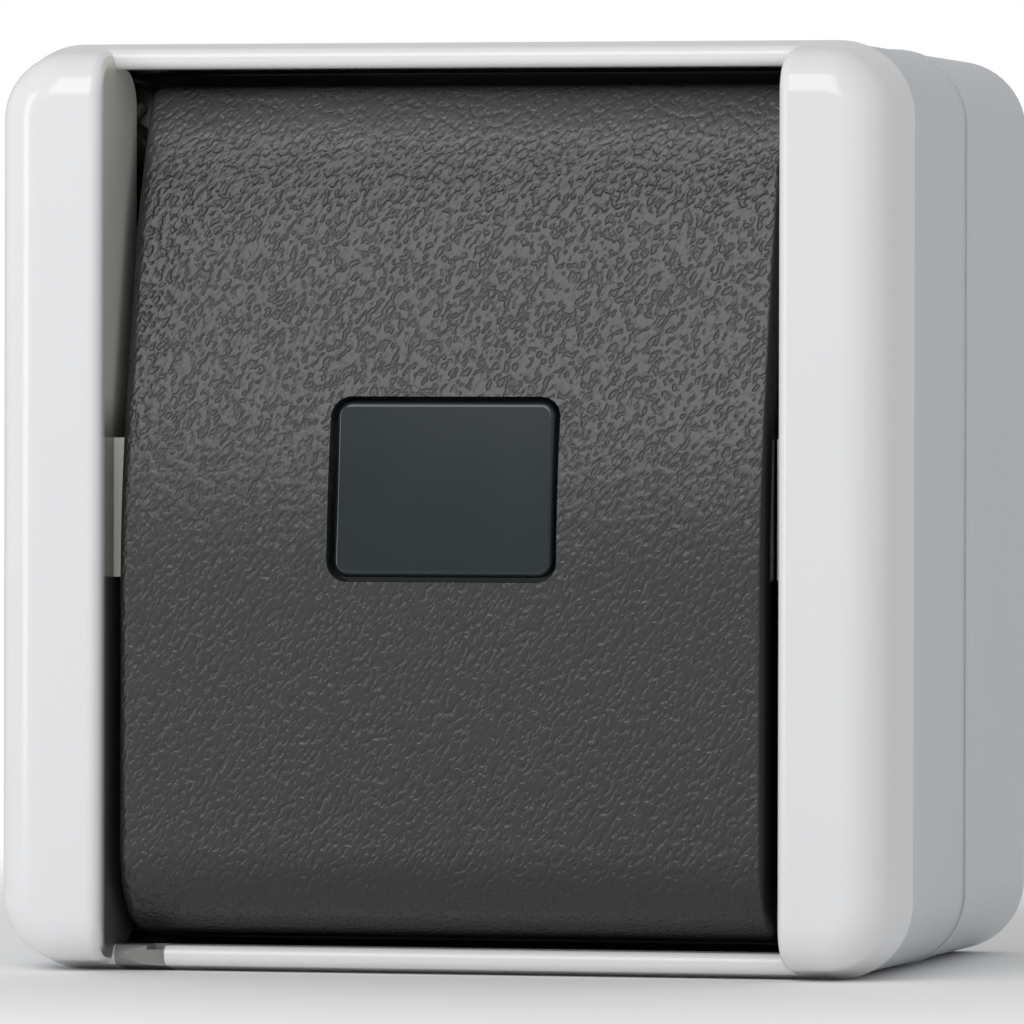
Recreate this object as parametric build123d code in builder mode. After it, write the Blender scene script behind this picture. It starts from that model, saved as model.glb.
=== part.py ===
from build123d import *
from math import cos, radians, sin, tan
import os

# Surface-mounted splash-proof pushbutton, millimetres.
# X runs to the right, Z up and Y into the wall. The origin is the centre of the wall face.
# Heights are measured from the wall, depths from the front of the rails.

os.makedirs("parts", exist_ok=True)

# Housing
front_width = 68.0
front_height = 68.0
base_height = 22.2
joint_gap = 0.6
middle_height = 20.4
cover_height = 6.8
corner_radius = 5.6
middle_setback = 0.15
base_setback = 0.2
rim_reach = 0.12
rim_height = 1.2
rim_edge_radius = 0.3
base_wall = 2.2
base_floor = 2.5
middle_wall = 1.7
deck_depth = 19.0
deck_thickness = 2.0
lip_height = 2.0
lip_wall = 1.2
lip_clearance = 0.25
rear_edge_radius = 0.7
gasket_recess = 0.8
gasket_inner_gap = 0.2

# Front frame
rail_width = 8.7
bar_thickness = 1.9
bar_depth = 4.0
side_draft = 10.4
rail_edge_radius = 3.2
rail_inner_radius = 0.9
bar_edge_radius = 0.7
rail_shell = 2.0
tongue_depth = 10.0
tongue_end_radius = 3.0
hook_width = 8.0
hook_spacing = 34.0
hook_thickness = 1.3
hook_reach = 5.2
hook_barb = 0.6
hook_barb_height = 1.6
hook_pocket_clearance = 0.3
pry_notch_offset = 1.1
pry_notch_width = 2.7
pry_notch_depth = 0.8
pry_slot_width = 1.35
pry_slot_rise = 0.35

# Button
button_side_gap = 0.95
button_bottom_gap = 0.8
button_top_gap = 1.1
button_depth = 1.8
button_slope = 12.5
button_crease = 1.0
button_roll_length = 9.0
button_top_depth = 10.5
button_bottom_radius = 6.3
button_crease_radius = 60.0
button_roll_radius = 40.0
button_top_radius = 1.5
button_edge_radius = 0.8
button_wall = 2.0
button_side_wall = 1.8
skirt_bottom_depth = 11.0
skirt_top_depth = 14.0
pivot_depth = 8.0
pivot_pin_radius = 1.5
pivot_clearance = 0.05
pivot_pin_length = 2.2
lug_height = 10.2
lug_side_gap = 0.15
lug_rear_depth = 12.5
press_angle = 12.0
drive_offset = 9.0
drive_rib_width = 10.0
drive_rib_thickness = 3.0
drive_tip_depth = 13.9
stop_post_radius = 1.0
stop_post_offset = 15.0
stop_gap = 0.3

# Window
window_width = 17.2
window_height = 13.5
window_radius = 1.5
window_center = 1.4
window_gap = 0.35
window_recess = 0.2
window_tilt = 6.0
window_flange = 1.3
window_flange_thickness = 1.0
window_seat_gap = 0.05
window_edge_radius = 0.45

# Seal
membrane_thickness = 0.9
membrane_edge_gap = 0.15
boot_radius = 5.5
boot_wall = 0.8
boot_gap = 0.3
retainer_size = 43.0
retainer_band = 3.0
retainer_thickness = 1.2
retainer_peg_radius = 1.2
peg_clearance = 0.1

# Screws that pull the housing onto the wall box
column_inset = 3.1
column_radius = 3.4
middle_column_radius = 4.2
middle_spigot_radius = 2.7
column_gap = 0.4
screw_radius = 1.7
screw_clearance = 0.05
screw_head_radius = 3.1
screw_head_height = 2.2
screw_head_seat = 3.0
screw_head_clearance = 0.3
screw_tip_height = 6.0
screw_bore_end = 4.0
slot_width = 0.8

# Wall fixing and cable entries
slot_spacing = 50.0
slot_length = 9.0
slot_radius = 2.3
slot_collar = 1.2
slot_collar_height = 1.0
entry_height = 11.4
entry_radius = 6.5
flange_radius = 8.3
flange_thickness = 1.0
inner_flange_thickness = 1.5
inner_flange_taper = 20.0
grommet_clearance = 0.1
cable_radius = 4.0
knockout_radius = 8.0
knockout_groove = 0.8
knockout_groove_depth = 1.2

# Switch insert
insert_bottom = 4.0
insert_height = 20.0
insert_bottom_wall = 5.0
insert_edge = 1.0
pillar_radius = 3.2
pillar_x = 16.0
pillar_z = 24.5
plate_side_margin = 2.0
plate_end_margin = 3.0
plate_thickness = 1.2
plate_corner = 3.0
plate_window_margin = 1.0
plate_window_above_terminals = 3.5
plate_screw_radius = 1.5
plate_screw_head_radius = 2.8
plate_screw_head_height = 2.0
plate_screw_tip = 10.0
plate_screw_bore_end = 8.0
plate_slot_length = 4.8
rivet_window_margin = 1.8
rivet_side_margin = 1.7
rivet_z = -5.0
rivet_radius = 1.25
rivet_head_radius = 2.1
rivet_head_height = 1.0
rivet_head_taper = 25.0
rivet_length = 3.0
insert_cover_margin = 1.5
insert_cover_thickness = 2.0
pocket_side_gap = 0.8
pocket_above_pin = 12.0
pocket_below_pin = 7.0
pocket_well_width = 11.0
pocket_well_height = 6.0
contact_ledge_height = 10.8

# Push pin, contact carrier and springs
pin_radius = 3.0
pin_tip_radius = 0.8
pin_clearance = 0.05
guide_radius = 5.0
guide_length_below = 2.0
guide_length_above = 2.0
pin_spigot_radius = 1.8
pin_spigot_length = 3.0
carrier_width = 8.0
carrier_length = 9.0
carrier_bottom = 14.0
carrier_gap = 0.3
bridge_slot_height = 3.0
bridge_slot_floor = 1.5
bridge_length = 24.4
bridge_width = 5.0
bridge_thickness = 1.0
bridge_clearance = 0.1
contact_edge_margin = 0.4
contact_radius = 1.8
contact_thickness = 1.0
contact_pressed_gap = 0.1
strip_width = 5.0
strip_thickness = 0.8
strip_end_margin = 3.0
spring_radius = 3.2
spring_wire_radius = 0.3
spring_turns = 5.5
spring_seat_gap = 0.05
spring_peg_radius = 2.2
spring_peg_height = 2.5
small_spring_radius = 1.3
small_spring_wire_radius = 0.15
small_spring_turns = 3.5

# Terminals
terminal_z = 11.5
chamber_side_gap = 0.4
chamber_end_gap = 0.7
chamber_mouth_depth = 1.7
chamber_floor_gap = 0.4
chamber_roof_gap = 0.8
clamp_width = 7.6
clamp_length = 7.6
clamp_bottom = 8.4
clamp_floor = 1.5
clamp_hole_width = 5.4
clamp_hole_height = 5.5
clamp_roof = 2.0
clamp_screw_radius = 1.5
clamp_screw_tip = 13.4
clamp_screw_head_radius = 2.3
clamp_screw_head_height = 2.2
clamp_screw_head_base = 20.0
terminal_clearance = 0.1
earth_wall_gap = 1.3
earth_z = 14.5
earth_width = 6.6
earth_length = 11.0
earth_height = 8.0
earth_bore_radius = 2.0
earth_screw_tip = 7.0

# How far off a face or an edge may lie and still be picked by its place
pick_tolerance = 0.001

# Worked out from the sizes above
half_width = front_width / 2
half_height = front_height / 2
middle_bottom = base_height + joint_gap
middle_top = middle_bottom + middle_height
total_depth = middle_top + cover_height
deck_top = total_depth - deck_depth
deck_bottom = deck_top - deck_thickness
base_half_width = half_width - base_setback
base_half_height = half_height - base_setback
base_inner_x = base_half_width - base_wall
base_inner_z = base_half_height - base_wall
base_corner = corner_radius - base_setback
middle_half_width = half_width - middle_setback
middle_half_height = half_height - middle_setback
middle_inner_x = middle_half_width - middle_wall
middle_inner_z = middle_half_height - middle_wall
middle_corner = corner_radius - middle_setback
rail_inner = half_width - rail_width
bar_inner = half_height - bar_thickness
button_half_width = rail_inner - button_side_gap
button_bottom = bar_inner - button_bottom_gap
button_top = bar_inner - button_top_gap
button_roll_start = button_top - button_roll_length
column_x = base_inner_x - column_inset
column_z = base_inner_z - column_inset
corner_points = [(x, z) for x in (-column_x, column_x) for z in (-column_z, column_z)]
slot_points = [(-slot_spacing / 2, 0), (slot_spacing / 2, 0)]
pocket_width = bridge_length + 2 * pocket_side_gap
pocket_top = pocket_above_pin - drive_offset
pocket_bottom = -pocket_below_pin - drive_offset
insert_cover_width = pocket_width + 2 * insert_cover_margin
insert_cover_top = pocket_top + insert_cover_margin
insert_cover_bottom = pocket_bottom - insert_cover_margin
contact_x = bridge_length / 2 - contact_edge_margin - contact_radius
contact_points = [(-contact_x, -drive_offset), (contact_x, -drive_offset)]
terminal_points = [(-contact_x, terminal_z), (contact_x, terminal_z)]
chamber_width = clamp_width + 2 * chamber_side_gap
chamber_bottom_z = terminal_z - clamp_length / 2 - chamber_end_gap
insert_top_z = terminal_z + clamp_length / 2 + chamber_mouth_depth
insert_bottom_z = pocket_bottom - insert_bottom_wall
insert_top = insert_bottom + insert_height
plate_window_width = insert_cover_width + 2 * plate_window_margin
plate_window_top = terminal_z + plate_window_above_terminals
plate_window_bottom = insert_cover_bottom - plate_window_margin
plate_top = insert_top + plate_thickness
pillar_points = [(-pillar_x, pillar_z), (pillar_x, -pillar_z)]
rivet_x = plate_window_width / 2 + rivet_window_margin
rivet_points = [(-rivet_x, rivet_z), (rivet_x, rivet_z)]
insert_width = 2 * (rivet_x + rivet_side_margin)
earth_x = base_inner_x - earth_wall_gap - earth_width / 2
stroke = drive_offset * sin(radians(press_angle))
carrier_top = insert_top - guide_length_below - carrier_gap
boot_top = total_depth - drive_tip_depth - boot_gap
pin_top = boot_top - boot_wall - boot_gap
screw_seat_height = deck_top - screw_head_seat
moving_contact_bottom = carrier_bottom + bridge_slot_floor - contact_thickness
fixed_contact_top = moving_contact_bottom - stroke - contact_pressed_gap
strip_top_height = contact_ledge_height + strip_thickness
strip_top = terminal_z + strip_end_margin
strip_bottom = -drive_offset - strip_end_margin
clamp_height = clamp_floor + clamp_hole_height + clamp_roof
chamber_floor_height = clamp_bottom - chamber_floor_gap
chamber_roof_height = clamp_bottom + clamp_height + chamber_roof_gap


def at_height(height):
    """Plane parallel to the wall at this height, its normal towards the front."""
    return Plane.XZ.offset(height)


def y_at(depth):
    """Y of a depth behind the rails' front."""
    return depth - total_depth


def keep(builder, name):
    """Name a finished piece and write it."""
    builder.part.label = name
    export_step(builder.part, "parts/" + name + ".step")


def button_face(inset, rearward):
    """Side profile of the button, drawn in by the inset and lengthened to the rear."""
    roll_depth = button_depth + (button_roll_start - button_crease) * tan(radians(button_slope))
    with BuildSketch(Plane.YZ) as profile:
        with BuildLine():
            skin = FilletPolyline(
                (y_at(skirt_bottom_depth + rearward), -button_bottom),
                (y_at(button_depth), -button_bottom),
                (y_at(button_depth), button_crease),
                (y_at(roll_depth), button_roll_start),
                (y_at(button_top_depth), button_top),
                (y_at(skirt_top_depth + rearward), button_top),
                radius=[button_bottom_radius, button_crease_radius, button_roll_radius, button_top_radius],
            )
            Line(skin @ 1, skin @ 0)
        make_face()
        if inset:
            offset(amount=-inset)
    return profile.sketch


button_outer = button_face(0, 0)
button_inner = button_face(button_wall, total_depth / 2)
window_seat_face = button_face(button_wall + window_seat_gap, total_depth / 2)
window_rear_face = button_face(button_wall + window_seat_gap + window_flange_thickness, total_depth / 2)

# Wall box
with BuildPart() as base_box:
    with BuildSketch(Plane.XZ):
        RectangleRounded(2 * base_half_width, 2 * base_half_height, base_corner)
    extrude(amount=base_height)
    with BuildSketch(at_height(base_floor)):
        RectangleRounded(2 * base_inner_x, 2 * base_inner_z, base_corner - base_wall)
    extrude(amount=base_height - base_floor, mode=Mode.SUBTRACT)
    fillet(base_box.faces().sort_by(Axis.Y)[-1].edges(), radius=rear_edge_radius)
    column_top = middle_bottom - lip_height - column_gap
    with BuildSketch(at_height(base_floor)):
        with Locations(*corner_points):
            Circle(column_radius)
    extrude(amount=column_top - base_floor)
    with BuildSketch(at_height(base_floor)):
        with Locations(*pillar_points):
            Circle(pillar_radius)
    extrude(amount=insert_top - base_floor)
    with BuildSketch(at_height(base_floor)):
        with Locations(*slot_points):
            SlotOverall(slot_length + 2 * slot_collar, 2 * (slot_radius + slot_collar))
    extrude(amount=slot_collar_height)
    with BuildSketch(Plane.XZ):
        with Locations(*slot_points):
            SlotOverall(slot_length, 2 * slot_radius)
    extrude(amount=base_floor + slot_collar_height, mode=Mode.SUBTRACT)
    with BuildSketch(at_height(screw_bore_end)):
        with Locations(*corner_points):
            Circle(screw_radius + screw_clearance)
    extrude(amount=column_top - screw_bore_end, mode=Mode.SUBTRACT)
    with BuildSketch(at_height(plate_screw_bore_end)):
        with Locations(*pillar_points):
            Circle(plate_screw_radius + screw_clearance)
    extrude(amount=insert_top - plate_screw_bore_end, mode=Mode.SUBTRACT)
    with BuildSketch(Plane.XY):
        with Locations((0, -entry_height)):
            Circle(entry_radius)
    extrude(amount=base_half_height, both=True, mode=Mode.SUBTRACT)
    with BuildSketch(Plane.XY.offset(base_half_height - flange_thickness)):
        with Locations((0, -entry_height)):
            Circle(flange_radius + grommet_clearance)
    extrude(amount=flange_thickness, mode=Mode.SUBTRACT)
    with BuildSketch(Plane.XY.offset(-base_half_height)):
        with Locations((0, -entry_height)):
            Circle(flange_radius + grommet_clearance)
    extrude(amount=flange_thickness, mode=Mode.SUBTRACT)
    with BuildSketch(Plane.XZ):
        Circle(knockout_radius)
        Circle(knockout_radius - knockout_groove, mode=Mode.SUBTRACT)
    extrude(amount=knockout_groove_depth, mode=Mode.SUBTRACT)
keep(base_box, "base_box")

# Rubber ring in the joint
with BuildPart() as base_gasket:
    with BuildSketch(at_height(base_height)):
        RectangleRounded(
            2 * (base_half_width - gasket_recess),
            2 * (base_half_height - gasket_recess),
            base_corner - gasket_recess,
        )
        RectangleRounded(
            2 * (base_inner_x + gasket_inner_gap),
            2 * (base_inner_z + gasket_inner_gap),
            base_corner - base_wall + gasket_inner_gap,
            mode=Mode.SUBTRACT,
        )
    extrude(amount=joint_gap)
keep(base_gasket, "base_gasket")

# Entries for the cable, one open and one closed
wall_between_flanges = base_wall - flange_thickness
for name, side, hole in (("cable_grommet", 1, cable_radius), ("blanking_grommet", -1, 0)):
    outer_z = side * base_half_height
    with BuildPart() as grommet:
        with BuildSketch(Plane.XY.offset(outer_z - side * flange_thickness)):
            with Locations((0, -entry_height)):
                Circle(flange_radius)
        extrude(amount=side * flange_thickness)
        with BuildSketch(Plane.XY.offset(outer_z - side * flange_thickness)):
            with Locations((0, -entry_height)):
                Circle(entry_radius - grommet_clearance)
        extrude(amount=-side * wall_between_flanges)
        with BuildSketch(Plane.XY.offset(outer_z - side * base_wall)):
            with Locations((0, -entry_height)):
                Circle(flange_radius - grommet_clearance)
        extrude(amount=-side * inner_flange_thickness, taper=inner_flange_taper)
        if hole:
            with BuildSketch(Plane.XY.offset(outer_z)):
                with Locations((0, -entry_height)):
                    Circle(hole)
            extrude(amount=-side * (base_wall + inner_flange_thickness), mode=Mode.SUBTRACT)
    keep(grommet, name)

# Housing ring with its deck
with BuildPart() as middle_housing:
    with BuildSketch(at_height(middle_bottom)):
        RectangleRounded(2 * middle_half_width, 2 * middle_half_height, middle_corner)
    extrude(amount=middle_height)
    with BuildSketch(at_height(middle_bottom)):
        RectangleRounded(
            2 * (middle_half_width + rim_reach),
            2 * (middle_half_height + rim_reach),
            middle_corner + rim_reach,
        )
    extrude(amount=rim_height)
    fillet(middle_housing.faces().sort_by(Axis.Y)[-1].edges(), radius=rim_edge_radius)
    inner_corner = middle_corner - middle_wall
    with BuildSketch(at_height(middle_bottom)):
        RectangleRounded(2 * middle_inner_x, 2 * middle_inner_z, inner_corner)
    extrude(amount=deck_bottom - middle_bottom, mode=Mode.SUBTRACT)
    with BuildSketch(at_height(deck_top)):
        RectangleRounded(2 * middle_inner_x, 2 * middle_inner_z, inner_corner)
    extrude(amount=middle_top - deck_top, mode=Mode.SUBTRACT)
    lip_x = base_inner_x - lip_clearance
    lip_z = base_inner_z - lip_clearance
    lip_corner = base_corner - base_wall - lip_clearance
    with BuildSketch(at_height(middle_bottom)):
        RectangleRounded(2 * middle_inner_x, 2 * middle_inner_z, inner_corner)
        RectangleRounded(
            2 * (lip_x - lip_wall),
            2 * (lip_z - lip_wall),
            lip_corner - lip_wall,
            mode=Mode.SUBTRACT,
        )
    extrude(amount=lip_wall)
    with BuildSketch(at_height(middle_bottom - lip_height)):
        RectangleRounded(2 * lip_x, 2 * lip_z, lip_corner)
        RectangleRounded(
            2 * (lip_x - lip_wall),
            2 * (lip_z - lip_wall),
            lip_corner - lip_wall,
            mode=Mode.SUBTRACT,
        )
    extrude(amount=lip_height)
    with BuildSketch(at_height(middle_bottom - lip_height)):
        with Locations(*corner_points):
            Circle(middle_spigot_radius)
    extrude(amount=lip_height)
    with BuildSketch(at_height(middle_bottom)):
        with Locations(*corner_points):
            Circle(middle_column_radius)
    extrude(amount=deck_bottom - middle_bottom)
    with BuildSketch(at_height(middle_bottom - lip_height)):
        with Locations(*corner_points):
            Circle(screw_radius + screw_head_clearance)
    extrude(amount=deck_top - middle_bottom + lip_height, mode=Mode.SUBTRACT)
    with BuildSketch(at_height(screw_seat_height)):
        with Locations(*corner_points):
            Circle(screw_head_radius + screw_head_clearance)
    extrude(amount=screw_head_seat, mode=Mode.SUBTRACT)
    with BuildSketch(at_height(deck_bottom)):
        with Locations((0, -drive_offset)):
            Circle(boot_radius - boot_wall)
    extrude(amount=deck_thickness, mode=Mode.SUBTRACT)
    stop_z = button_top - button_wall
    stop_slope = (skirt_top_depth - skirt_bottom_depth) / (button_top + button_bottom)
    stop_depth = skirt_bottom_depth + stop_slope * (stop_z + button_bottom) + stop_gap
    with BuildSketch(at_height(deck_top)):
        with Locations((-stop_post_offset, stop_z), (stop_post_offset, stop_z)):
            Circle(stop_post_radius)
    extrude(amount=deck_depth - stop_depth)
    peg_offset = (retainer_size - retainer_band) / 2
    peg_points = [(x, z) for x in (-peg_offset, peg_offset) for z in (-peg_offset, peg_offset)]
    with BuildSketch(at_height(deck_bottom)):
        with Locations(*peg_points):
            Circle(retainer_peg_radius + peg_clearance)
    extrude(amount=deck_thickness, mode=Mode.SUBTRACT)
    hook_outer = half_width - rail_shell - hook_pocket_clearance
    pocket_height = hook_barb_height + 2 * hook_pocket_clearance
    pocket_bottom_height = middle_top - hook_reach - hook_pocket_clearance
    pocket_reach = hook_outer + hook_barb + hook_pocket_clearance
    with BuildSketch(at_height(pocket_bottom_height)):
        with GridLocations(0, hook_spacing, 1, 2):
            Rectangle(2 * pocket_reach, hook_width + 2 * hook_pocket_clearance)
        Rectangle(2 * middle_inner_x, 2 * half_height, mode=Mode.SUBTRACT)
    extrude(amount=pocket_height, mode=Mode.SUBTRACT)
keep(middle_housing, "middle_housing")

# Front frame with its rails, bars, bearing lugs and snap hooks
with BuildPart() as cover_frame:
    with BuildSketch(at_height(middle_top)):
        RectangleRounded(front_width, front_height, corner_radius)
    extrude(amount=cover_height, taper=side_draft)
    bar_front = total_depth - bar_depth
    with BuildSketch(at_height(bar_front)):
        Rectangle(2 * rail_inner, 2 * front_height)
    extrude(amount=bar_depth, mode=Mode.SUBTRACT)
    rail_fronts = cover_frame.faces().filter_by(Axis.Y).sort_by(Axis.Y)[0:2]
    outer_edges = [e for f in rail_fronts for e in f.edges() if abs(e.center().X) > rail_inner + pick_tolerance]
    fillet(outer_edges, radius=rail_edge_radius)
    inner_edges = [
        e
        for e in cover_frame.edges()
        if abs(abs(e.center().X) - rail_inner) < pick_tolerance and e.center().Y < -bar_front - pick_tolerance
    ]
    fillet(inner_edges, radius=rail_inner_radius)
    with BuildSketch(at_height(middle_top)):
        Rectangle(2 * rail_inner, 2 * bar_inner)
    extrude(amount=cover_height, mode=Mode.SUBTRACT)
    bar_faces =[f for f in cover_frame.faces() if abs(f.center().Y + bar_front) < pick_tolerance]
    bar_edges = [e for f in bar_faces for e in f.edges().filter_by(Axis.X)]
    fillet(bar_edges, radius=bar_edge_radius)
    rail_cavity_x = (rail_inner + rail_shell + half_width - rail_shell) / 2
    with BuildSketch(at_height(middle_top)):
        with GridLocations(2 * rail_cavity_x, 0, 2, 1):
            RectangleRounded(rail_width - 2 * rail_shell, 2 * (half_height - rail_shell), rail_shell)
    extrude(amount=cover_height - rail_shell, taper=side_draft / 2, mode=Mode.SUBTRACT)
    with BuildSketch(Plane.YZ.offset(rail_inner)):
        with Locations((y_at((tongue_depth + cover_height) / 2), 0)):
            Rectangle(tongue_depth - cover_height, 2 * bar_inner)
    extrude(amount=rail_shell)
    tongue_ends = [
        e for e in cover_frame.edges().filter_by(Axis.X) if abs(e.center().Y - y_at(tongue_depth)) < pick_tolerance
    ]
    fillet(tongue_ends, radius=tongue_end_radius)
    lug_inner = button_half_width + lug_side_gap
    with BuildSketch(Plane.YZ.offset(lug_inner)):
        with Locations((y_at((bar_depth + lug_rear_depth) / 2), 0)):
            Rectangle(lug_rear_depth - bar_depth, lug_height)
    extrude(amount=rail_inner + rail_shell - lug_inner)
    with BuildSketch(Plane.YZ.offset(lug_inner)):
        with Locations((y_at(pivot_depth), 0)):
            Circle(pivot_pin_radius + pivot_clearance)
    extrude(amount=rail_inner + rail_shell - lug_inner, mode=Mode.SUBTRACT)
    hook_bottom = middle_top - hook_reach
    with BuildSketch(at_height(hook_bottom)):
        with Locations((hook_outer - hook_thickness / 2, 0)):
            with GridLocations(0, hook_spacing, 1, 2):
                Rectangle(hook_thickness, hook_width)
    extrude(amount=hook_reach + cover_height - rail_shell)
    for hook_z in (-hook_spacing / 2, hook_spacing / 2):
        with BuildSketch(Plane.XY.offset(hook_z - hook_width / 2)):
            with BuildLine():
                Polyline(
                    (hook_outer, -hook_bottom),
                    (hook_outer + hook_barb, -hook_bottom - hook_barb_height / 2),
                    (hook_outer + hook_barb, -hook_bottom - hook_barb_height),
                    (hook_outer, -hook_bottom - hook_barb_height),
                    close=True,
                )
            make_face()
        extrude(amount=hook_width)
    split(bisect_by=Plane.YZ, keep=Keep.TOP)
    mirror(about=Plane.YZ)
    notch_x = pry_notch_width + pry_notch_offset - rail_inner
    with BuildSketch(Plane.XY.offset(-half_height)):
        with BuildLine():
            Polyline(
                (notch_x - pry_notch_width, -bar_front),
                (notch_x, -bar_front),
                (notch_x, pry_notch_depth - bar_front),
                close=True,
            )
        make_face()
    extrude(amount=bar_thickness, mode=Mode.SUBTRACT)
    with BuildSketch(at_height(bar_front)):
        with Locations((notch_x - pry_slot_width / 2, -bar_inner)):
            Rectangle(pry_slot_width, 2 * pry_slot_rise)
    extrude(amount=-pry_notch_width, mode=Mode.SUBTRACT)
keep(cover_frame, "cover_frame")

# Button with its pivot pins and drive rib
with BuildPart() as rocker:
    extrude(button_outer, amount=button_half_width, both=True)
    button_sides = rocker.faces().filter_by(Axis.X)
    rim_edges = [e for f in button_sides for e in f.edges().sort_by(SortBy.LENGTH)[:-1]]
    fillet(rim_edges, radius=button_edge_radius)
    extrude(button_inner, amount=button_half_width - button_side_wall, both=True, mode=Mode.SUBTRACT)
    rib_front = button_depth + button_wall / 2
    with BuildSketch(Plane.YZ):
        with Locations((y_at((rib_front + drive_tip_depth - drive_rib_thickness / 2) / 2), -drive_offset)):
            Rectangle(drive_tip_depth - drive_rib_thickness / 2 - rib_front, drive_rib_thickness)
        with Locations((y_at(drive_tip_depth - drive_rib_thickness / 2), -drive_offset)):
            Circle(drive_rib_thickness / 2)
    extrude(amount=drive_rib_width / 2, both=True)
    with BuildSketch(Plane.YZ.offset(button_half_width)):
        with Locations((y_at(pivot_depth), 0)):
            Circle(pivot_pin_radius)
    extrude(amount=pivot_pin_length)
    mirror(about=Plane.YZ)
    with BuildSketch(at_height(total_depth)):
        with Locations((0, window_center)):
            RectangleRounded(window_width, window_height, window_radius)
    extrude(amount=-pivot_depth, mode=Mode.SUBTRACT)
keep(rocker, "rocker")

# Window plate, set into the button from behind and seated on its flange
with BuildPart() as window_insert:
    with BuildSketch(at_height(total_depth)):
        with Locations((0, window_center)):
            RectangleRounded(
                window_width - 2 * window_gap,
                window_height - 2 * window_gap,
                window_radius - window_gap,
            )
    extrude(amount=-pivot_depth)
    window_plane = Plane(
        origin=(0, y_at(button_depth + window_recess), window_center - window_height / 2),
        x_dir=(1, 0, 0),
        z_dir=(0, -cos(radians(window_tilt)), sin(radians(window_tilt))),
    )
    split(bisect_by=window_plane, keep=Keep.BOTTOM)
    fillet(window_insert.faces().sort_by(Axis.Y)[0].edges(), radius=window_edge_radius)
with BuildPart() as window_seat:
    with BuildSketch(at_height(total_depth)):
        with Locations((0, window_center)):
            RectangleRounded(
                window_width + 2 * window_flange,
                window_height + 2 * window_flange,
                window_radius + window_flange,
            )
    extrude(amount=-pivot_depth)
    extrude(window_seat_face, amount=button_half_width, both=True, mode=Mode.INTERSECT)
with window_insert:
    add(window_seat.part)
    extrude(window_rear_face, amount=button_half_width, both=True, mode=Mode.SUBTRACT)
keep(window_insert, "window_insert")

# Rubber mat over the deck, with a boot over the push pin
mat_top = deck_top + membrane_thickness
with BuildPart() as sealing_membrane:
    with BuildSketch(at_height(deck_top)):
        RectangleRounded(
            2 * (middle_inner_x - membrane_edge_gap),
            2 * (middle_inner_z - membrane_edge_gap),
            middle_corner - middle_wall - membrane_edge_gap,
        )
        with Locations(*corner_points):
            Circle(screw_head_radius + 2 * screw_head_clearance, mode=Mode.SUBTRACT)
        with Locations(*peg_points):
            Circle(retainer_peg_radius + peg_clearance, mode=Mode.SUBTRACT)
        with Locations((-stop_post_offset, stop_z), (stop_post_offset, stop_z)):
            Circle(stop_post_radius + peg_clearance, mode=Mode.SUBTRACT)
    extrude(amount=membrane_thickness)
    with BuildSketch(at_height(deck_top)):
        with Locations((0, -drive_offset)):
            Circle(boot_radius)
    extrude(amount=boot_top - deck_top)
    fillet(sealing_membrane.faces().sort_by(Axis.Y)[0].edges(), radius=boot_wall)
    with BuildSketch(at_height(deck_top)):
        with Locations((0, -drive_offset)):
            Circle(boot_radius - boot_wall)
    extrude(amount=boot_top - boot_wall - deck_top, mode=Mode.SUBTRACT)
keep(sealing_membrane, "sealing_membrane")

# Frame that clamps the mat, with pegs through mat and deck
with BuildPart() as membrane_retainer:
    with BuildSketch(at_height(mat_top)):
        RectangleRounded(retainer_size, retainer_size, retainer_band)
        RectangleRounded(
            retainer_size - 2 * retainer_band,
            retainer_size - 2 * retainer_band,
            retainer_band / 2,
            mode=Mode.SUBTRACT,
        )
    extrude(amount=retainer_thickness)
    with BuildSketch(at_height(mat_top)):
        with Locations(*peg_points):
            Circle(retainer_peg_radius)
    extrude(amount=-(membrane_thickness + deck_thickness))
keep(membrane_retainer, "membrane_retainer")

# Long screws from the deck into the wall box's columns
with BuildPart() as housing_screws:
    with BuildSketch(at_height(screw_tip_height)):
        with Locations(*corner_points):
            Circle(screw_radius)
    extrude(amount=screw_seat_height - screw_tip_height)
    with BuildSketch(at_height(screw_seat_height)):
        with Locations(*corner_points):
            Circle(screw_head_radius)
    extrude(amount=screw_head_height)
    with BuildSketch(at_height(screw_seat_height + screw_head_height)):
        with Locations(*corner_points):
            Rectangle(screw_head_radius, slot_width)
            Rectangle(slot_width, screw_head_radius)
    extrude(amount=-screw_head_height / 2, mode=Mode.SUBTRACT)
keep(housing_screws, "housing_screws")

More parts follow.
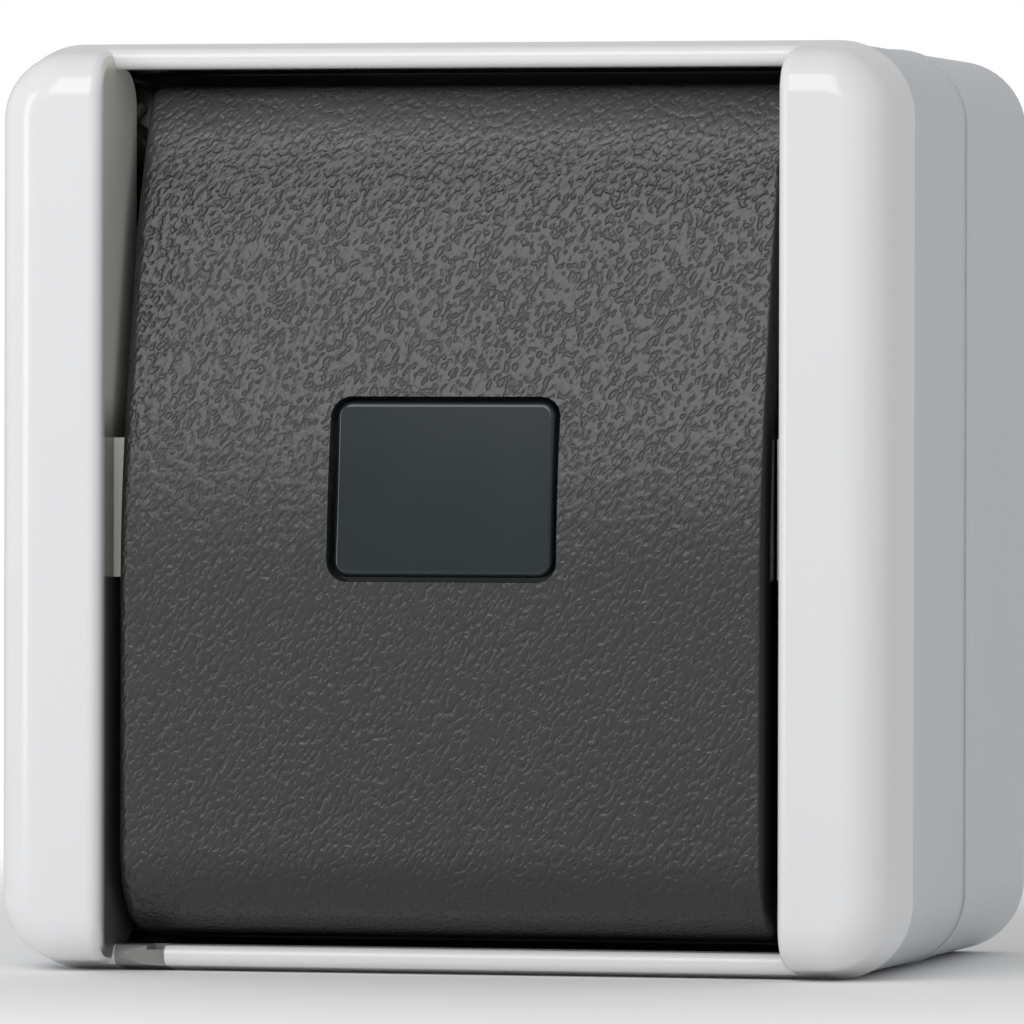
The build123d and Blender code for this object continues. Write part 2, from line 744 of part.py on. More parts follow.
# Moulded body of the switch insert
with BuildPart() as insert_body:
    body_z = (insert_top_z + insert_bottom_z) / 2
    with BuildSketch(at_height(insert_bottom)):
        with Locations((0, body_z)):
            Rectangle(insert_width, insert_top_z - insert_bottom_z)
    extrude(amount=insert_height)
    chamfer(insert_body.edges().filter_by(Axis.Y), length=insert_edge)
    chamfer(insert_body.faces().sort_by(Axis.Y)[-1].edges(), length=insert_edge)
    pocket_z = (pocket_top + pocket_bottom) / 2
    with BuildSketch(at_height(contact_ledge_height)):
        with Locations((0, pocket_z)):
            Rectangle(pocket_width, pocket_top - pocket_bottom)
    extrude(amount=insert_top - contact_ledge_height, mode=Mode.SUBTRACT)
    with BuildSketch(at_height(pocket_well_height)):
        with Locations((0, -drive_offset)):
            Rectangle(pocket_well_width, pocket_well_width)
    extrude(amount=contact_ledge_height - pocket_well_height, mode=Mode.SUBTRACT)
    with BuildSketch(at_height(pocket_well_height)):
        with Locations((0, -drive_offset)):
            Circle(spring_peg_radius)
    extrude(amount=spring_peg_height)
    with BuildSketch(at_height(chamber_floor_height)):
        for x, z in terminal_points:
            with Locations((x, (chamber_bottom_z + insert_top_z) / 2)):
                Rectangle(chamber_width, insert_top_z - chamber_bottom_z)
    extrude(amount=chamber_roof_height - chamber_floor_height, mode=Mode.SUBTRACT)
    with BuildSketch(at_height(contact_ledge_height)):
        for x, z in terminal_points:
            with Locations((x, (pocket_top + chamber_bottom_z) / 2)):
                Rectangle(strip_width + 2 * terminal_clearance, chamber_bottom_z - pocket_top)
    extrude(amount=strip_thickness + terminal_clearance, mode=Mode.SUBTRACT)
    with BuildSketch(at_height(chamber_roof_height)):
        with Locations(*terminal_points):
            Circle(clamp_screw_head_radius + screw_head_clearance)
    extrude(amount=insert_top - chamber_roof_height, mode=Mode.SUBTRACT)
    with BuildSketch(at_height(insert_top - rivet_length)):
        with Locations(*rivet_points):
            Circle(rivet_radius + screw_clearance)
    extrude(amount=rivet_length, mode=Mode.SUBTRACT)
keep(insert_body, "insert_body")

# Cover plate of the insert, with the guide for the push pin
with BuildPart() as insert_cover:
    with BuildSketch(at_height(insert_top)):
        with Locations((0, (insert_cover_top + insert_cover_bottom) / 2)):
            RectangleRounded(insert_cover_width, insert_cover_top - insert_cover_bottom, insert_edge)
    extrude(amount=insert_cover_thickness)
    with BuildSketch(at_height(insert_top - guide_length_below)):
        with Locations((0, -drive_offset)):
            Circle(guide_radius)
    extrude(amount=guide_length_below + insert_cover_thickness + guide_length_above)
    with BuildSketch(at_height(insert_top - guide_length_below)):
        with Locations((0, -drive_offset)):
            Circle(pin_radius + pin_clearance)
    extrude(
        amount=guide_length_below + insert_cover_thickness + guide_length_above,
        mode=Mode.SUBTRACT,
    )
keep(insert_cover, "insert_cover")

# Steel plate that carries the insert on the box's pillars
with BuildPart() as support_plate:
    with BuildSketch(at_height(insert_top)):
        RectangleRounded(
            insert_width + 2 * plate_side_margin,
            2 * (pillar_z + plate_end_margin),
            plate_corner,
        )
        with Locations((0, (plate_window_top + plate_window_bottom) / 2)):
            RectangleRounded(
                plate_window_width,
                plate_window_top - plate_window_bottom,
                insert_edge,
                mode=Mode.SUBTRACT,
            )
        with Locations(*pillar_points):
            SlotOverall(plate_slot_length, 2 * (plate_screw_radius + screw_head_clearance), mode=Mode.SUBTRACT)
        with Locations(*rivet_points):
            Circle(rivet_radius + screw_clearance, mode=Mode.SUBTRACT)
    extrude(amount=plate_thickness)
keep(support_plate, "support_plate")

# Plate screws
with BuildPart() as insert_screws:
    with BuildSketch(at_height(plate_screw_tip)):
        with Locations(*pillar_points):
            Circle(plate_screw_radius)
    extrude(amount=plate_top - plate_screw_tip)
    with BuildSketch(at_height(plate_top)):
        with Locations(*pillar_points):
            Circle(plate_screw_head_radius)
    extrude(amount=plate_screw_head_height)
    with BuildSketch(at_height(plate_top + plate_screw_head_height)):
        with Locations(*pillar_points):
            Rectangle(2 * plate_screw_head_radius, slot_width)
    extrude(amount=-plate_screw_head_height / 2, mode=Mode.SUBTRACT)
keep(insert_screws, "insert_screws")

# Rivets between plate and insert body
with BuildPart() as insert_rivets:
    with BuildSketch(at_height(insert_top - rivet_length)):
        with Locations(*rivet_points):
            Circle(rivet_radius)
    extrude(amount=rivet_length + plate_thickness)
    with BuildSketch(at_height(plate_top)):
        with Locations(*rivet_points):
            Circle(rivet_head_radius)
    extrude(amount=rivet_head_height, taper=rivet_head_taper)
keep(insert_rivets, "insert_rivets")

# Push pin from the boot down to the contact carrier
with BuildPart() as push_pin:
    with BuildSketch(at_height(carrier_top)):
        with Locations((0, -drive_offset)):
            Circle(pin_radius)
    extrude(amount=pin_top - carrier_top)
    fillet(push_pin.faces().sort_by(Axis.Y)[0].edges(), radius=pin_tip_radius)
    with BuildSketch(at_height(carrier_top)):
        with Locations((0, -drive_offset)):
            Circle(pin_spigot_radius)
    extrude(amount=-pin_spigot_length)
keep(push_pin, "push_pin")

# Block on the pin's end with a slot for the bridge
slot_floor_height = carrier_bottom + bridge_slot_floor
with BuildPart() as contact_carrier:
    with BuildSketch(at_height(carrier_bottom)):
        with Locations((0, -drive_offset)):
            Rectangle(carrier_width, carrier_length)
    extrude(amount=carrier_top - carrier_bottom)
    chamfer(contact_carrier.edges().filter_by(Axis.Y), length=insert_edge / 2)
    with BuildSketch(at_height(slot_floor_height)):
        with Locations((0, -drive_offset)):
            Rectangle(carrier_width, bridge_width + 2 * bridge_clearance)
    extrude(amount=bridge_slot_height, mode=Mode.SUBTRACT)
    with BuildSketch(at_height(carrier_top - pin_spigot_length)):
        with Locations((0, -drive_offset)):
            Circle(pin_spigot_radius + pin_clearance)
    extrude(amount=pin_spigot_length, mode=Mode.SUBTRACT)
keep(contact_carrier, "contact_carrier")

# Brass bar that joins the two contacts
with BuildPart() as contact_bridge:
    with BuildSketch(at_height(slot_floor_height)):
        with Locations((0, -drive_offset)):
            RectangleRounded(bridge_length, bridge_width, insert_edge)
    extrude(amount=bridge_thickness)
keep(contact_bridge, "contact_bridge")

# Contact rivets on the bridge
with BuildPart() as moving_contacts:
    with BuildSketch(at_height(slot_floor_height)):
        with Locations(*contact_points):
            Circle(contact_radius)
    extrude(amount=-contact_thickness)
keep(moving_contacts, "moving_contacts")

# Springs, wound between their seats
spring_sizes = {
    "return_spring": (
        pocket_well_height + spring_seat_gap,
        carrier_bottom - spring_seat_gap,
        spring_radius,
        spring_wire_radius,
        spring_turns,
    ),
    "overtravel_spring": (
        slot_floor_height + bridge_thickness + spring_seat_gap,
        slot_floor_height + bridge_slot_height - spring_seat_gap,
        small_spring_radius,
        small_spring_wire_radius,
        small_spring_turns,
    ),
}
for name, (low, high, outer, wire, turns) in spring_sizes.items():
    coil_height = high - low - 2 * wire
    with BuildPart() as spring:
        with BuildLine():
            coil = Helix(
                pitch=coil_height / turns,
                height=coil_height,
                radius=outer - wire,
                center=(0, -low - wire, -drive_offset),
                direction=(0, -1, 0),
            )
        with BuildSketch(Plane(origin=coil @ 0, z_dir=coil % 0)):
            Circle(wire)
        sweep(is_frenet=True)
    keep(spring, name)

# Fixed contact strips, from the contacts into the terminals
for name, x in (("fixed_contact_left", -contact_x), ("fixed_contact_right", contact_x)):
    with BuildPart() as strip:
        with BuildSketch(at_height(contact_ledge_height)):
            with Locations((x, (strip_top + strip_bottom) / 2)):
                Rectangle(strip_width, strip_top - strip_bottom)
        extrude(amount=strip_thickness)
    keep(strip, name)

# Contact rivets on the strips
with BuildPart() as fixed_rivets:
    with BuildSketch(at_height(strip_top_height)):
        with Locations(*contact_points):
            Circle(contact_radius)
    extrude(amount=fixed_contact_top - strip_top_height)
keep(fixed_rivets, "fixed_rivets")

# Cage clamps round the strips' ends
for name, x in (("terminal_clamp_left", -contact_x), ("terminal_clamp_right", contact_x)):
    with BuildPart() as clamp:
        with BuildSketch(at_height(clamp_bottom)):
            with Locations((x, terminal_z)):
                RectangleRounded(clamp_width, clamp_length, insert_edge / 2)
        extrude(amount=clamp_height)
        with BuildSketch(at_height(clamp_bottom + clamp_floor)):
            with Locations((x, terminal_z)):
                Rectangle(clamp_hole_width, 2 * clamp_length)
        extrude(amount=clamp_hole_height, mode=Mode.SUBTRACT)
        with BuildSketch(at_height(clamp_bottom + clamp_height)):
            with Locations((x, terminal_z)):
                Circle(clamp_screw_radius + screw_clearance)
        extrude(amount=-clamp_roof, mode=Mode.SUBTRACT)
    keep(clamp, name)

# Clamp screws
with BuildPart() as terminal_screws:
    with BuildSketch(at_height(clamp_screw_tip)):
        with Locations(*terminal_points):
            Circle(clamp_screw_radius)
    extrude(amount=clamp_screw_head_base - clamp_screw_tip)
    with BuildSketch(at_height(clamp_screw_head_base)):
        with Locations(*terminal_points):
            Circle(clamp_screw_head_radius)
    extrude(amount=clamp_screw_head_height)
    with BuildSketch(at_height(clamp_screw_head_base + clamp_screw_head_height)):
        with Locations(*terminal_points):
            Rectangle(2 * clamp_screw_head_radius, slot_width)
    extrude(amount=-clamp_screw_head_height / 2, mode=Mode.SUBTRACT)
keep(terminal_screws, "terminal_screws")

# Earth block on the box's floor, and its screw
earth_top = base_floor + earth_height
with BuildPart() as earth_terminal:
    with BuildSketch(at_height(base_floor)):
        with Locations((earth_x, earth_z)):
            Rectangle(earth_width, earth_length)
    extrude(amount=earth_height)
    with BuildSketch(Plane.XY.offset(earth_z)):
        with Locations((earth_x, -base_floor - earth_height / 2)):
            Circle(earth_bore_radius)
    extrude(amount=earth_length, both=True, mode=Mode.SUBTRACT)
    with BuildSketch(at_height(base_floor + earth_height / 2)):
        with Locations((earth_x, earth_z)):
            Circle(clamp_screw_radius + screw_clearance)
    extrude(amount=earth_height / 2, mode=Mode.SUBTRACT)
keep(earth_terminal, "earth_terminal")
with BuildPart() as earth_screw:
    with BuildSketch(at_height(earth_screw_tip)):
        with Locations((earth_x, earth_z)):
            Circle(clamp_screw_radius)
    extrude(amount=earth_top + insert_edge - earth_screw_tip)
    with BuildSketch(at_height(earth_top + insert_edge)):
        with Locations((earth_x, earth_z)):
            Circle(clamp_screw_head_radius)
    extrude(amount=clamp_screw_head_height)
    with BuildSketch(at_height(earth_top + insert_edge + clamp_screw_head_height)):
        with Locations((earth_x, earth_z)):
            Rectangle(2 * clamp_screw_head_radius, slot_width)
    extrude(amount=-clamp_screw_head_height / 2, mode=Mode.SUBTRACT)
keep(earth_screw, "earth_screw")
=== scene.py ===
import math

import bmesh
import bpy
from mathutils import Matrix, Vector


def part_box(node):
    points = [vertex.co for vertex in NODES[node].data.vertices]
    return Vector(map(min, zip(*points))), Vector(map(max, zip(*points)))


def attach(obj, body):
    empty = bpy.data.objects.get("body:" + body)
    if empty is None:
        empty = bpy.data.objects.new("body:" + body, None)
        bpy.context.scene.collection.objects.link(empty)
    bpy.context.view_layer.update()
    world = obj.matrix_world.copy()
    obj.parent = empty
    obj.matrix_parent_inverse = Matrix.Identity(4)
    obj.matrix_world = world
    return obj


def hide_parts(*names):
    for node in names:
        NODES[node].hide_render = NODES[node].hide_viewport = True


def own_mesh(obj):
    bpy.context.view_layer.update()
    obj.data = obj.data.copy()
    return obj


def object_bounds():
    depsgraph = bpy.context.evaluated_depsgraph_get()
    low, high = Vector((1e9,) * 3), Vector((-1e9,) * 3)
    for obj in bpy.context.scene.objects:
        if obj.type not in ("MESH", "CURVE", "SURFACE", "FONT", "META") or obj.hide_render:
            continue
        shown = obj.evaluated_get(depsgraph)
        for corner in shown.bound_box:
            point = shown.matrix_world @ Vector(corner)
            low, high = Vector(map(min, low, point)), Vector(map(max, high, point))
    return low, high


bl_info = {
    "name": "Surface Pushbutton Dressing",
    "version": (1, 0, 0),
    "blender": (4, 5, 0),
    "location": "3D View > Sidebar > Pushbutton",
    "description": "Finishes, screws, springs and a small studio for a surface-mounted pushbutton switch",
    "category": "Object",
}

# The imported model, loaded once so that the settings below can start from it
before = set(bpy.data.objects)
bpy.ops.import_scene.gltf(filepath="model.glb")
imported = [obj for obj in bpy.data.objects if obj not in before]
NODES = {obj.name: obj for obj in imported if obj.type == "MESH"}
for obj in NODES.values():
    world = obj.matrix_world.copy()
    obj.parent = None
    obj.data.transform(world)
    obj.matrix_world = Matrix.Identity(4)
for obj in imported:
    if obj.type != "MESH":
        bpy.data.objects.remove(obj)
MODEL_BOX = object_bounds()
MM = 0.001

# Places of the CAD that the pieces below are set to, in metres
ENTRY_HEIGHT = 0.0114
RING_PITCH = 0.0013
PIN_OFFSET = 0.009
DECK_FRONT = 0.031
MAT_THICKNESS = 0.0009
MAT_CUT_MARGIN = 0.0002
WELD_DISTANCE = 1e-6

# Limits of the areas where shade and light are painted into the colour, in metres: widths and heights from
# the middle, depths from the front
CHAMBER_HALF_WIDTH = 0.0323
CHAMBER_CORNER = 0.0625
CHAMBER_START = 0.0071
DECK_MARGIN = 0.0001
EDGE_START = 0.0235
EDGE_FADE = 0.0003
INNER_HALF_WIDTH = 0.0262
INWARD_LIMIT = -0.02
WALL_DEPTHS = (0.0006, 0.0016)
SHADE_DEPTHS = (0.0009, 0.002)
SHADE_HEIGHTS = (0.009, 0.004)
LUG_DEPTH = 0.0035
LUG_HALF_HEIGHT = 0.0065
ROLL_HEIGHTS = (0.023, 0.0295)
NOTCH_END = -0.0214
NOTCH_DEPTH = 0.0006
BAR_HALF_WIDTH = 0.0252
BAR_HEIGHT = 0.0316

# Colours painted in as shade, and one painted as light on the button's roll
INNER_OLIVE_PAINTED_SHADE = (0.65, 0.655, 0.60)
WALL_SHADE = (0.05, 0.05, 0.046)
NOTCH_SHADE = (0.27, 0.27, 0.262)
CHAMBER_PAINTED_SHADE = (0.015, 0.015, 0.016)
ROLL_PAINTED_LIGHT = (0.098, 0.099, 0.098)
EDGE_PAINTED_SHADE = (0.006, 0.0062, 0.006)

# Screws: thread, dome and slot as shares of the pitch and the head, and blade sizes in millimetres
THREAD_SHARE = 0.28
ROWS_PER_TURN = 8
DOME_SHARE = 0.22
SLOT_SHARE = 0.55
SLOT_WIDTH = 0.85
CROSS_LENGTH = 3.4

# Springs: rise of a closed end coil in wire radii
CLOSED_RISE = 2.06

# Studio, in metres. Each light has its turn and height in degrees, distance, size and power setting
FLOOR_REACH = 1.5
CAMERA_OFFSET = (-0.00559, 0.783, 0.00022)
LIGHTS = (
    ("key_light", -10.0, 31.0, 0.6, (0.29, 0.38), "key_power"),
    ("side_strip", -46.0, 10.0, 0.45, (0.11, 0.24), "side_power"),
    ("left_panel", -100.0, 5.0, 0.5, (0.35, 0.45), "panel_power"),
)

# Kind of a group's input by its default, and of its output by its name
INPUT_KINDS = {
    float: "NodeSocketFloat",
    int: "NodeSocketInt",
    tuple: "NodeSocketColor",
    type(None): "NodeSocketMaterial",
}
OUTPUT_KINDS = {"Color": "NodeSocketColor", "Normal": "NodeSocketVector"}


# Node tree helpers

def add_node(tree, kind, place, **values):
    """One node with its inputs set by name."""
    node = tree.nodes.new(kind)
    node.location = place
    for name, value in values.items():
        if name in node.inputs:
            node.inputs[name].default_value = value
        else:
            setattr(node, name, value)
    return node


def math_node(tree, operation, first, second, place):
    """A Math node, each of its two inputs a socket or a number."""
    node = add_node(tree, "ShaderNodeMath", place, operation=operation)
    for index, value in enumerate((first, second)):
        if isinstance(value, bpy.types.NodeSocket):
            tree.links.new(value, node.inputs[index])
        elif value is not None:
            node.inputs[index].default_value = value
    return node.outputs[0]


def map_range(tree, value, low, high, out_low, out_high, place, smooth=False):
    """A Map Range node from low..high to out_low..out_high, held at both ends."""
    node = add_node(tree, "ShaderNodeMapRange", place)
    if smooth:
        node.interpolation_type = "SMOOTHSTEP"
    tree.links.new(value, node.inputs["Value"])
    for name, number in (("From Min", low), ("From Max", high), ("To Min", out_low), ("To Max", out_high)):
        if isinstance(number, bpy.types.NodeSocket):
            tree.links.new(number, node.inputs[name])
        else:
            node.inputs[name].default_value = number
    return node.outputs["Result"]


def mix_color(tree, factor, first, second, place, blend="MIX"):
    """A colour Mix node, each input a socket or a plain value."""
    node = add_node(tree, "ShaderNodeMix", place, data_type="RGBA", blend_type=blend)
    for index, value in ((0, factor), (6, first), (7, second)):
        if isinstance(value, bpy.types.NodeSocket):
            tree.links.new(value, node.inputs[index])
        elif value is not None:
            node.inputs[index].default_value = value
    return node.outputs[2]


def product(tree, masks, place):
    """Several masks multiplied with one another."""
    result = masks[0]
    for step, mask in enumerate(masks[1:]):
        result = math_node(tree, "MULTIPLY", result, mask, (place[0] + 60 * step, place[1] - 40 * step))
    return result


def object_axes(tree, place):
    """X, Y and Z of each spot in the object's own coordinates."""
    spot = add_node(tree, "ShaderNodeTexCoord", place)
    axes = add_node(tree, "ShaderNodeSeparateXYZ", (place[0] + 200, place[1]))
    tree.links.new(spot.outputs["Object"], axes.inputs[0])
    return axes.outputs


def recolor(tree, mask, color, place):
    """Mix a colour over the shader's present one where the mask says so."""
    base = tree.nodes["Principled BSDF"].inputs["Base Color"]
    tree.links.new(mix_color(tree, mask, base.links[0].from_socket, (*color, 1.0), place), base)


def mix_shaders(tree, factor, first, second, surface, place):
    """Blend two shaders by a factor and send the result to the surface."""
    mix = add_node(tree, "ShaderNodeMixShader", place)
    for index, socket in enumerate((factor, first, second)):
        tree.links.new(socket, mix.inputs[index])
    tree.links.new(mix.outputs[0], surface)


def add_inputs(tree, inputs):
    """Named inputs of a tree, each of the kind that its default has."""
    for name, default in inputs.items():
        made = tree.interface.new_socket(name, in_out="INPUT", socket_type=INPUT_KINDS[type(default)])
        if default is not None:
            made.default_value = default


def new_group(name, inputs, outputs):
    """An empty shader node group with its inputs, by name and default, and its named outputs."""
    group = bpy.data.node_groups.new(name, "ShaderNodeTree")
    add_inputs(group, inputs)
    for socket in outputs:
        kind = OUTPUT_KINDS.get(socket, "NodeSocketFloat")
        group.interface.new_socket(socket, in_out="OUTPUT", socket_type=kind)
    entry = group.nodes.new("NodeGroupInput")
    entry.location = (-1400, 0)
    leave = group.nodes.new("NodeGroupOutput")
    leave.location = (1000, 0)
    return group, entry, leave


def group_named(name, build):
    """The group of that name, built the first time it is asked for."""
    return bpy.data.node_groups.get(name) or build(name)


def build_moulded_surface(name):
    """Faint mottling, an orange-peel skin and settled dust on moulded plastic."""
    inputs = {
        "Color": (0.8, 0.8, 0.8, 1.0),
        "Roughness": 0.2,
        "Mottle": 0.03,
        "Skin Depth": 0.00001,
        "Skin Size": 900.0,
        "Dust": 0.0,
    }
    group, entry, leave = new_group(name, inputs, ("Color", "Roughness", "Normal"))
    link = group.links.new
    place = add_node(group, "ShaderNodeTexCoord", (-1400, -300))
    cloud = add_node(group, "ShaderNodeTexNoise", (-1100, 200), Scale=38.0, Detail=3.0, Roughness=0.55)
    link(place.outputs["Object"], cloud.inputs["Vector"])
    skin = add_node(group, "ShaderNodeTexNoise", (-1100, -200), Detail=2.0, Roughness=0.5)
    link(place.outputs["Object"], skin.inputs["Vector"])
    link(entry.outputs["Skin Size"], skin.inputs["Scale"])
    speck = add_node(group, "ShaderNodeTexNoise", (-1100, -600), Scale=2600.0, Detail=2.0, Roughness=0.7)
    link(place.outputs["Object"], speck.inputs["Vector"])
    centred = math_node(group, "SUBTRACT", cloud.outputs["Fac"], 0.5, (-850, 200))
    swing = math_node(group, "MULTIPLY", centred, entry.outputs["Mottle"], (-650, 200))
    level = math_node(group, "ADD", swing, 1.0, (-450, 200))
    shade = add_node(group, "ShaderNodeCombineColor", (-250, 200))
    for channel in ("Red", "Green", "Blue"):
        link(level, shade.inputs[channel])
    tinted = mix_color(group, 1.0, entry.outputs["Color"], shade.outputs["Color"], (0, 200), "MULTIPLY")
    grains = map_range(group, speck.outputs["Fac"], 0.56, 0.72, 0.0, 1.0, (-850, -600), smooth=True)
    turned = add_node(group, "ShaderNodeNewGeometry", (-1100, -900))
    split = add_node(group, "ShaderNodeSeparateXYZ", (-850, -900))
    link(turned.outputs["Normal"], split.inputs[0])
    facing_up = map_range(group, split.outputs["Z"], 0.2, 1.0, 0.1, 1.0, (-650, -900))
    settled = math_node(group, "MULTIPLY", grains, facing_up, (-450, -700))
    dust = math_node(group, "MULTIPLY", settled, entry.outputs["Dust"], (-250, -600))
    dusty = mix_color(group, dust, tinted, (0.62, 0.6, 0.56, 1.0), (250, 100))
    link(dusty, leave.inputs["Color"])
    uneven = math_node(group, "MULTIPLY", centred, 0.12, (-450, -50))
    smear = math_node(group, "ADD", uneven, entry.outputs["Roughness"], (-250, -50))
    rough = math_node(group, "MULTIPLY_ADD", dust, 0.5, (0, -100))
    link(smear, rough.node.inputs[2])
    link(rough, leave.inputs["Roughness"])
    bump = add_node(group, "ShaderNodeBump", (500, -300), Strength=1.0)
    link(entry.outputs["Skin Depth"], bump.inputs["Distance"])
    link(skin.outputs["Fac"], bump.inputs["Height"])
    link(bump.outputs["Normal"], leave.inputs["Normal"])
    return group


def build_leather_grain(name):
    """Moulded leather grain: smooth plateaus with small pits, all drawn out in one slanting direction."""
    inputs = {"Grain Scale": 1400.0, "Depth": 0.00005, "Pit Edge": 0.52}
    group, entry, leave = new_group(name, inputs, ("Height", "Groove", "Normal"))
    link = group.links.new
    place = add_node(group, "ShaderNodeTexCoord", (-1400, -300))
    slant = add_node(group, "ShaderNodeMapping", (-1150, -100), vector_type="TEXTURE")
    slant.inputs["Rotation"].default_value = (0.0, math.radians(33.0), 0.0)
    slant.inputs["Scale"].default_value = (1.0, 1.0, 1.8)
    link(place.outputs["Object"], slant.inputs["Vector"])
    cells = add_node(group, "ShaderNodeTexNoise", (-850, -100), Detail=1.0, Roughness=0.4, Distortion=0.35)
    link(slant.outputs["Vector"], cells.inputs["Vector"])
    link(entry.outputs["Grain Scale"], cells.inputs["Scale"])
    pit_floor = math_node(group, "SUBTRACT", entry.outputs["Pit Edge"], 0.22, (-600, -300))
    pit_edge = entry.outputs["Pit Edge"]
    island = map_range(group, cells.outputs["Fac"], pit_floor, pit_edge, 0.0, 1.0, (-350, -100), smooth=True)
    crown = math_node(group, "MULTIPLY", cells.outputs["Fac"], 1.6, (-350, -400))
    fine = add_node(group, "ShaderNodeTexNoise", (-850, -700), Scale=11000.0, Detail=1.0)
    link(place.outputs["Object"], fine.inputs["Vector"])
    rough = math_node(group, "MULTIPLY", fine.outputs["Fac"], 0.12, (-350, -700))
    domed = math_node(group, "ADD", island, crown, (-50, -300))
    height = math_node(group, "ADD", domed, rough, (200, -300))
    link(height, leave.inputs["Height"])
    groove = math_node(group, "SUBTRACT", 1.0, island, (200, 0))
    link(groove, leave.inputs["Groove"])
    bump = add_node(group, "ShaderNodeBump", (500, -300), Strength=1.0)
    link(entry.outputs["Depth"], bump.inputs["Distance"])
    link(height, bump.inputs["Height"])
    link(bump.outputs["Normal"], leave.inputs["Normal"])
    return group


def build_drawn_metal(name):
    """Fine drawing lines and a plated colour that wanders into tarnished patches."""
    inputs = {
        "Color": (0.7, 0.7, 0.7, 1.0),
        "Tarnish": (0.4, 0.35, 0.25, 1.0),
        "Tarnish Amount": 0.3,
        "Roughness": 0.3,
    }
    group, entry, leave = new_group(name, inputs, ("Color", "Roughness", "Normal"))
    link = group.links.new
    place = add_node(group, "ShaderNodeTexCoord", (-1400, -300))
    stretch = add_node(group, "ShaderNodeMapping", (-1200, -300))
    stretch.inputs["Scale"].default_value = (1.0, 12.0, 1.0)
    link(place.outputs["Object"], stretch.inputs["Vector"])
    lines = add_node(group, "ShaderNodeTexNoise", (-950, -300), Scale=1500.0, Detail=3.0)
    link(stretch.outputs["Vector"], lines.inputs["Vector"])
    cloud = add_node(group, "ShaderNodeTexNoise", (-950, 100), Scale=260.0, Detail=3.0, Roughness=0.6)
    link(place.outputs["Object"], cloud.inputs["Vector"])
    patch = map_range(group, cloud.outputs["Fac"], 0.45, 0.7, 0.0, 1.0, (-700, 100), smooth=True)
    amount = math_node(group, "MULTIPLY", patch, entry.outputs["Tarnish Amount"], (-450, 100))
    plated = mix_color(group, amount, entry.outputs["Color"], entry.outputs["Tarnish"], (-200, 150))
    link(plated, leave.inputs["Color"])
    spread = math_node(group, "MULTIPLY", lines.outputs["Fac"], 0.15, (-700, -200))
    rough = math_node(group, "ADD", spread, entry.outputs["Roughness"], (-450, -200))
    link(rough, leave.inputs["Roughness"])
    bump = add_node(group, "ShaderNodeBump", (-200, -400), Strength=0.5, Distance=0.00001)
    link(lines.outputs["Fac"], bump.inputs["Height"])
    link(bump.outputs["Normal"], leave.inputs["Normal"])
    return group


def start_material(name):
    """A new material with its Principled shader."""
    material = bpy.data.materials.new(name)
    material.use_nodes = True
    tree = material.node_tree
    return material, tree, tree.nodes["Principled BSDF"]


def surface_material(name, group, values):
    """A material whose colour, roughness and normal come from a surface group with these values."""
    material, tree, shader = start_material(name)
    surface = add_node(tree, "ShaderNodeGroup", (-500, 0))
    surface.node_tree = group
    for socket, value in values.items():
        surface.inputs[socket].default_value = value
    for output, entry in (("Color", "Base Color"), ("Roughness", "Roughness"), ("Normal", "Normal")):
        tree.links.new(surface.outputs[output], shader.inputs[entry])
    return material, shader


def moulded_material(name, color, roughness, mottle=0.03, skin_depth=0.00001, skin_size=900.0, dust=0.0):
    """Moulded plastic in one colour."""
    material, shader = surface_material(name, group_named("Moulded Surface", build_moulded_surface), {
        "Color": (*color, 1.0), "Roughness": roughness, "Mottle": mottle, "Skin Depth": skin_depth,
        "Skin Size": skin_size, "Dust": dust,
    })
    shader.inputs["IOR"].default_value = 1.5
    return material


def metal_material(name, color, tarnish, amount, roughness):
    """Plated or bare metal with drawing lines."""
    material, shader = surface_material(name, group_named("Drawn Metal", build_drawn_metal), {
        "Color": (*color, 1.0), "Tarnish": (*tarnish, 1.0), "Tarnish Amount": amount,
        "Roughness": roughness,
    })
    shader.inputs["Metallic"].default_value = 1.0
    return material


def rubber_entry_material(name, color):
    """Soft rubber of a cable entry, with moulded rings round the hole for cutting it to size."""
    material = moulded_material(name, color, 0.55, mottle=0.08, skin_depth=0.00002, skin_size=1800.0,
                                dust=0.15)
    tree = material.node_tree
    shader = tree.nodes["Principled BSDF"]
    place = add_node(tree, "ShaderNodeTexCoord", (-1500, -500))
    centre = add_node(tree, "ShaderNodeMapping", (-1300, -500))
    centre.inputs["Location"].default_value = (0.0, ENTRY_HEIGHT, 0.0)
    centre.inputs["Scale"].default_value = (1.0, 1.0, 0.0)
    tree.links.new(place.outputs["Object"], centre.inputs["Vector"])
    away = add_node(tree, "ShaderNodeVectorMath", (-1100, -500), operation="LENGTH")
    tree.links.new(centre.outputs["Vector"], away.inputs[0])
    turns = math_node(tree, "MULTIPLY", away.outputs["Value"], 2.0 * math.pi / RING_PITCH, (-900, -500))
    wave = math_node(tree, "SINE", turns, None, (-700, -500))
    rings = map_range(tree, wave, -0.4, 0.4, 0.0, 1.0, (-500, -500), smooth=True)
    bump = add_node(tree, "ShaderNodeBump", (-250, -400), Strength=0.8, Distance=0.0002)
    tree.links.new(rings, bump.inputs["Height"])
    inner = shader.inputs["Normal"].links[0].from_socket
    tree.links.new(inner, bump.inputs["Normal"])
    tree.links.new(bump.outputs["Normal"], shader.inputs["Normal"])
    return material


def dress(material, *names):
    """Give CAD nodes this material."""
    for name in names:
        mesh = NODES[name].data
        mesh.materials.clear()
        mesh.materials.append(material)


# Geometry Nodes for what repeats

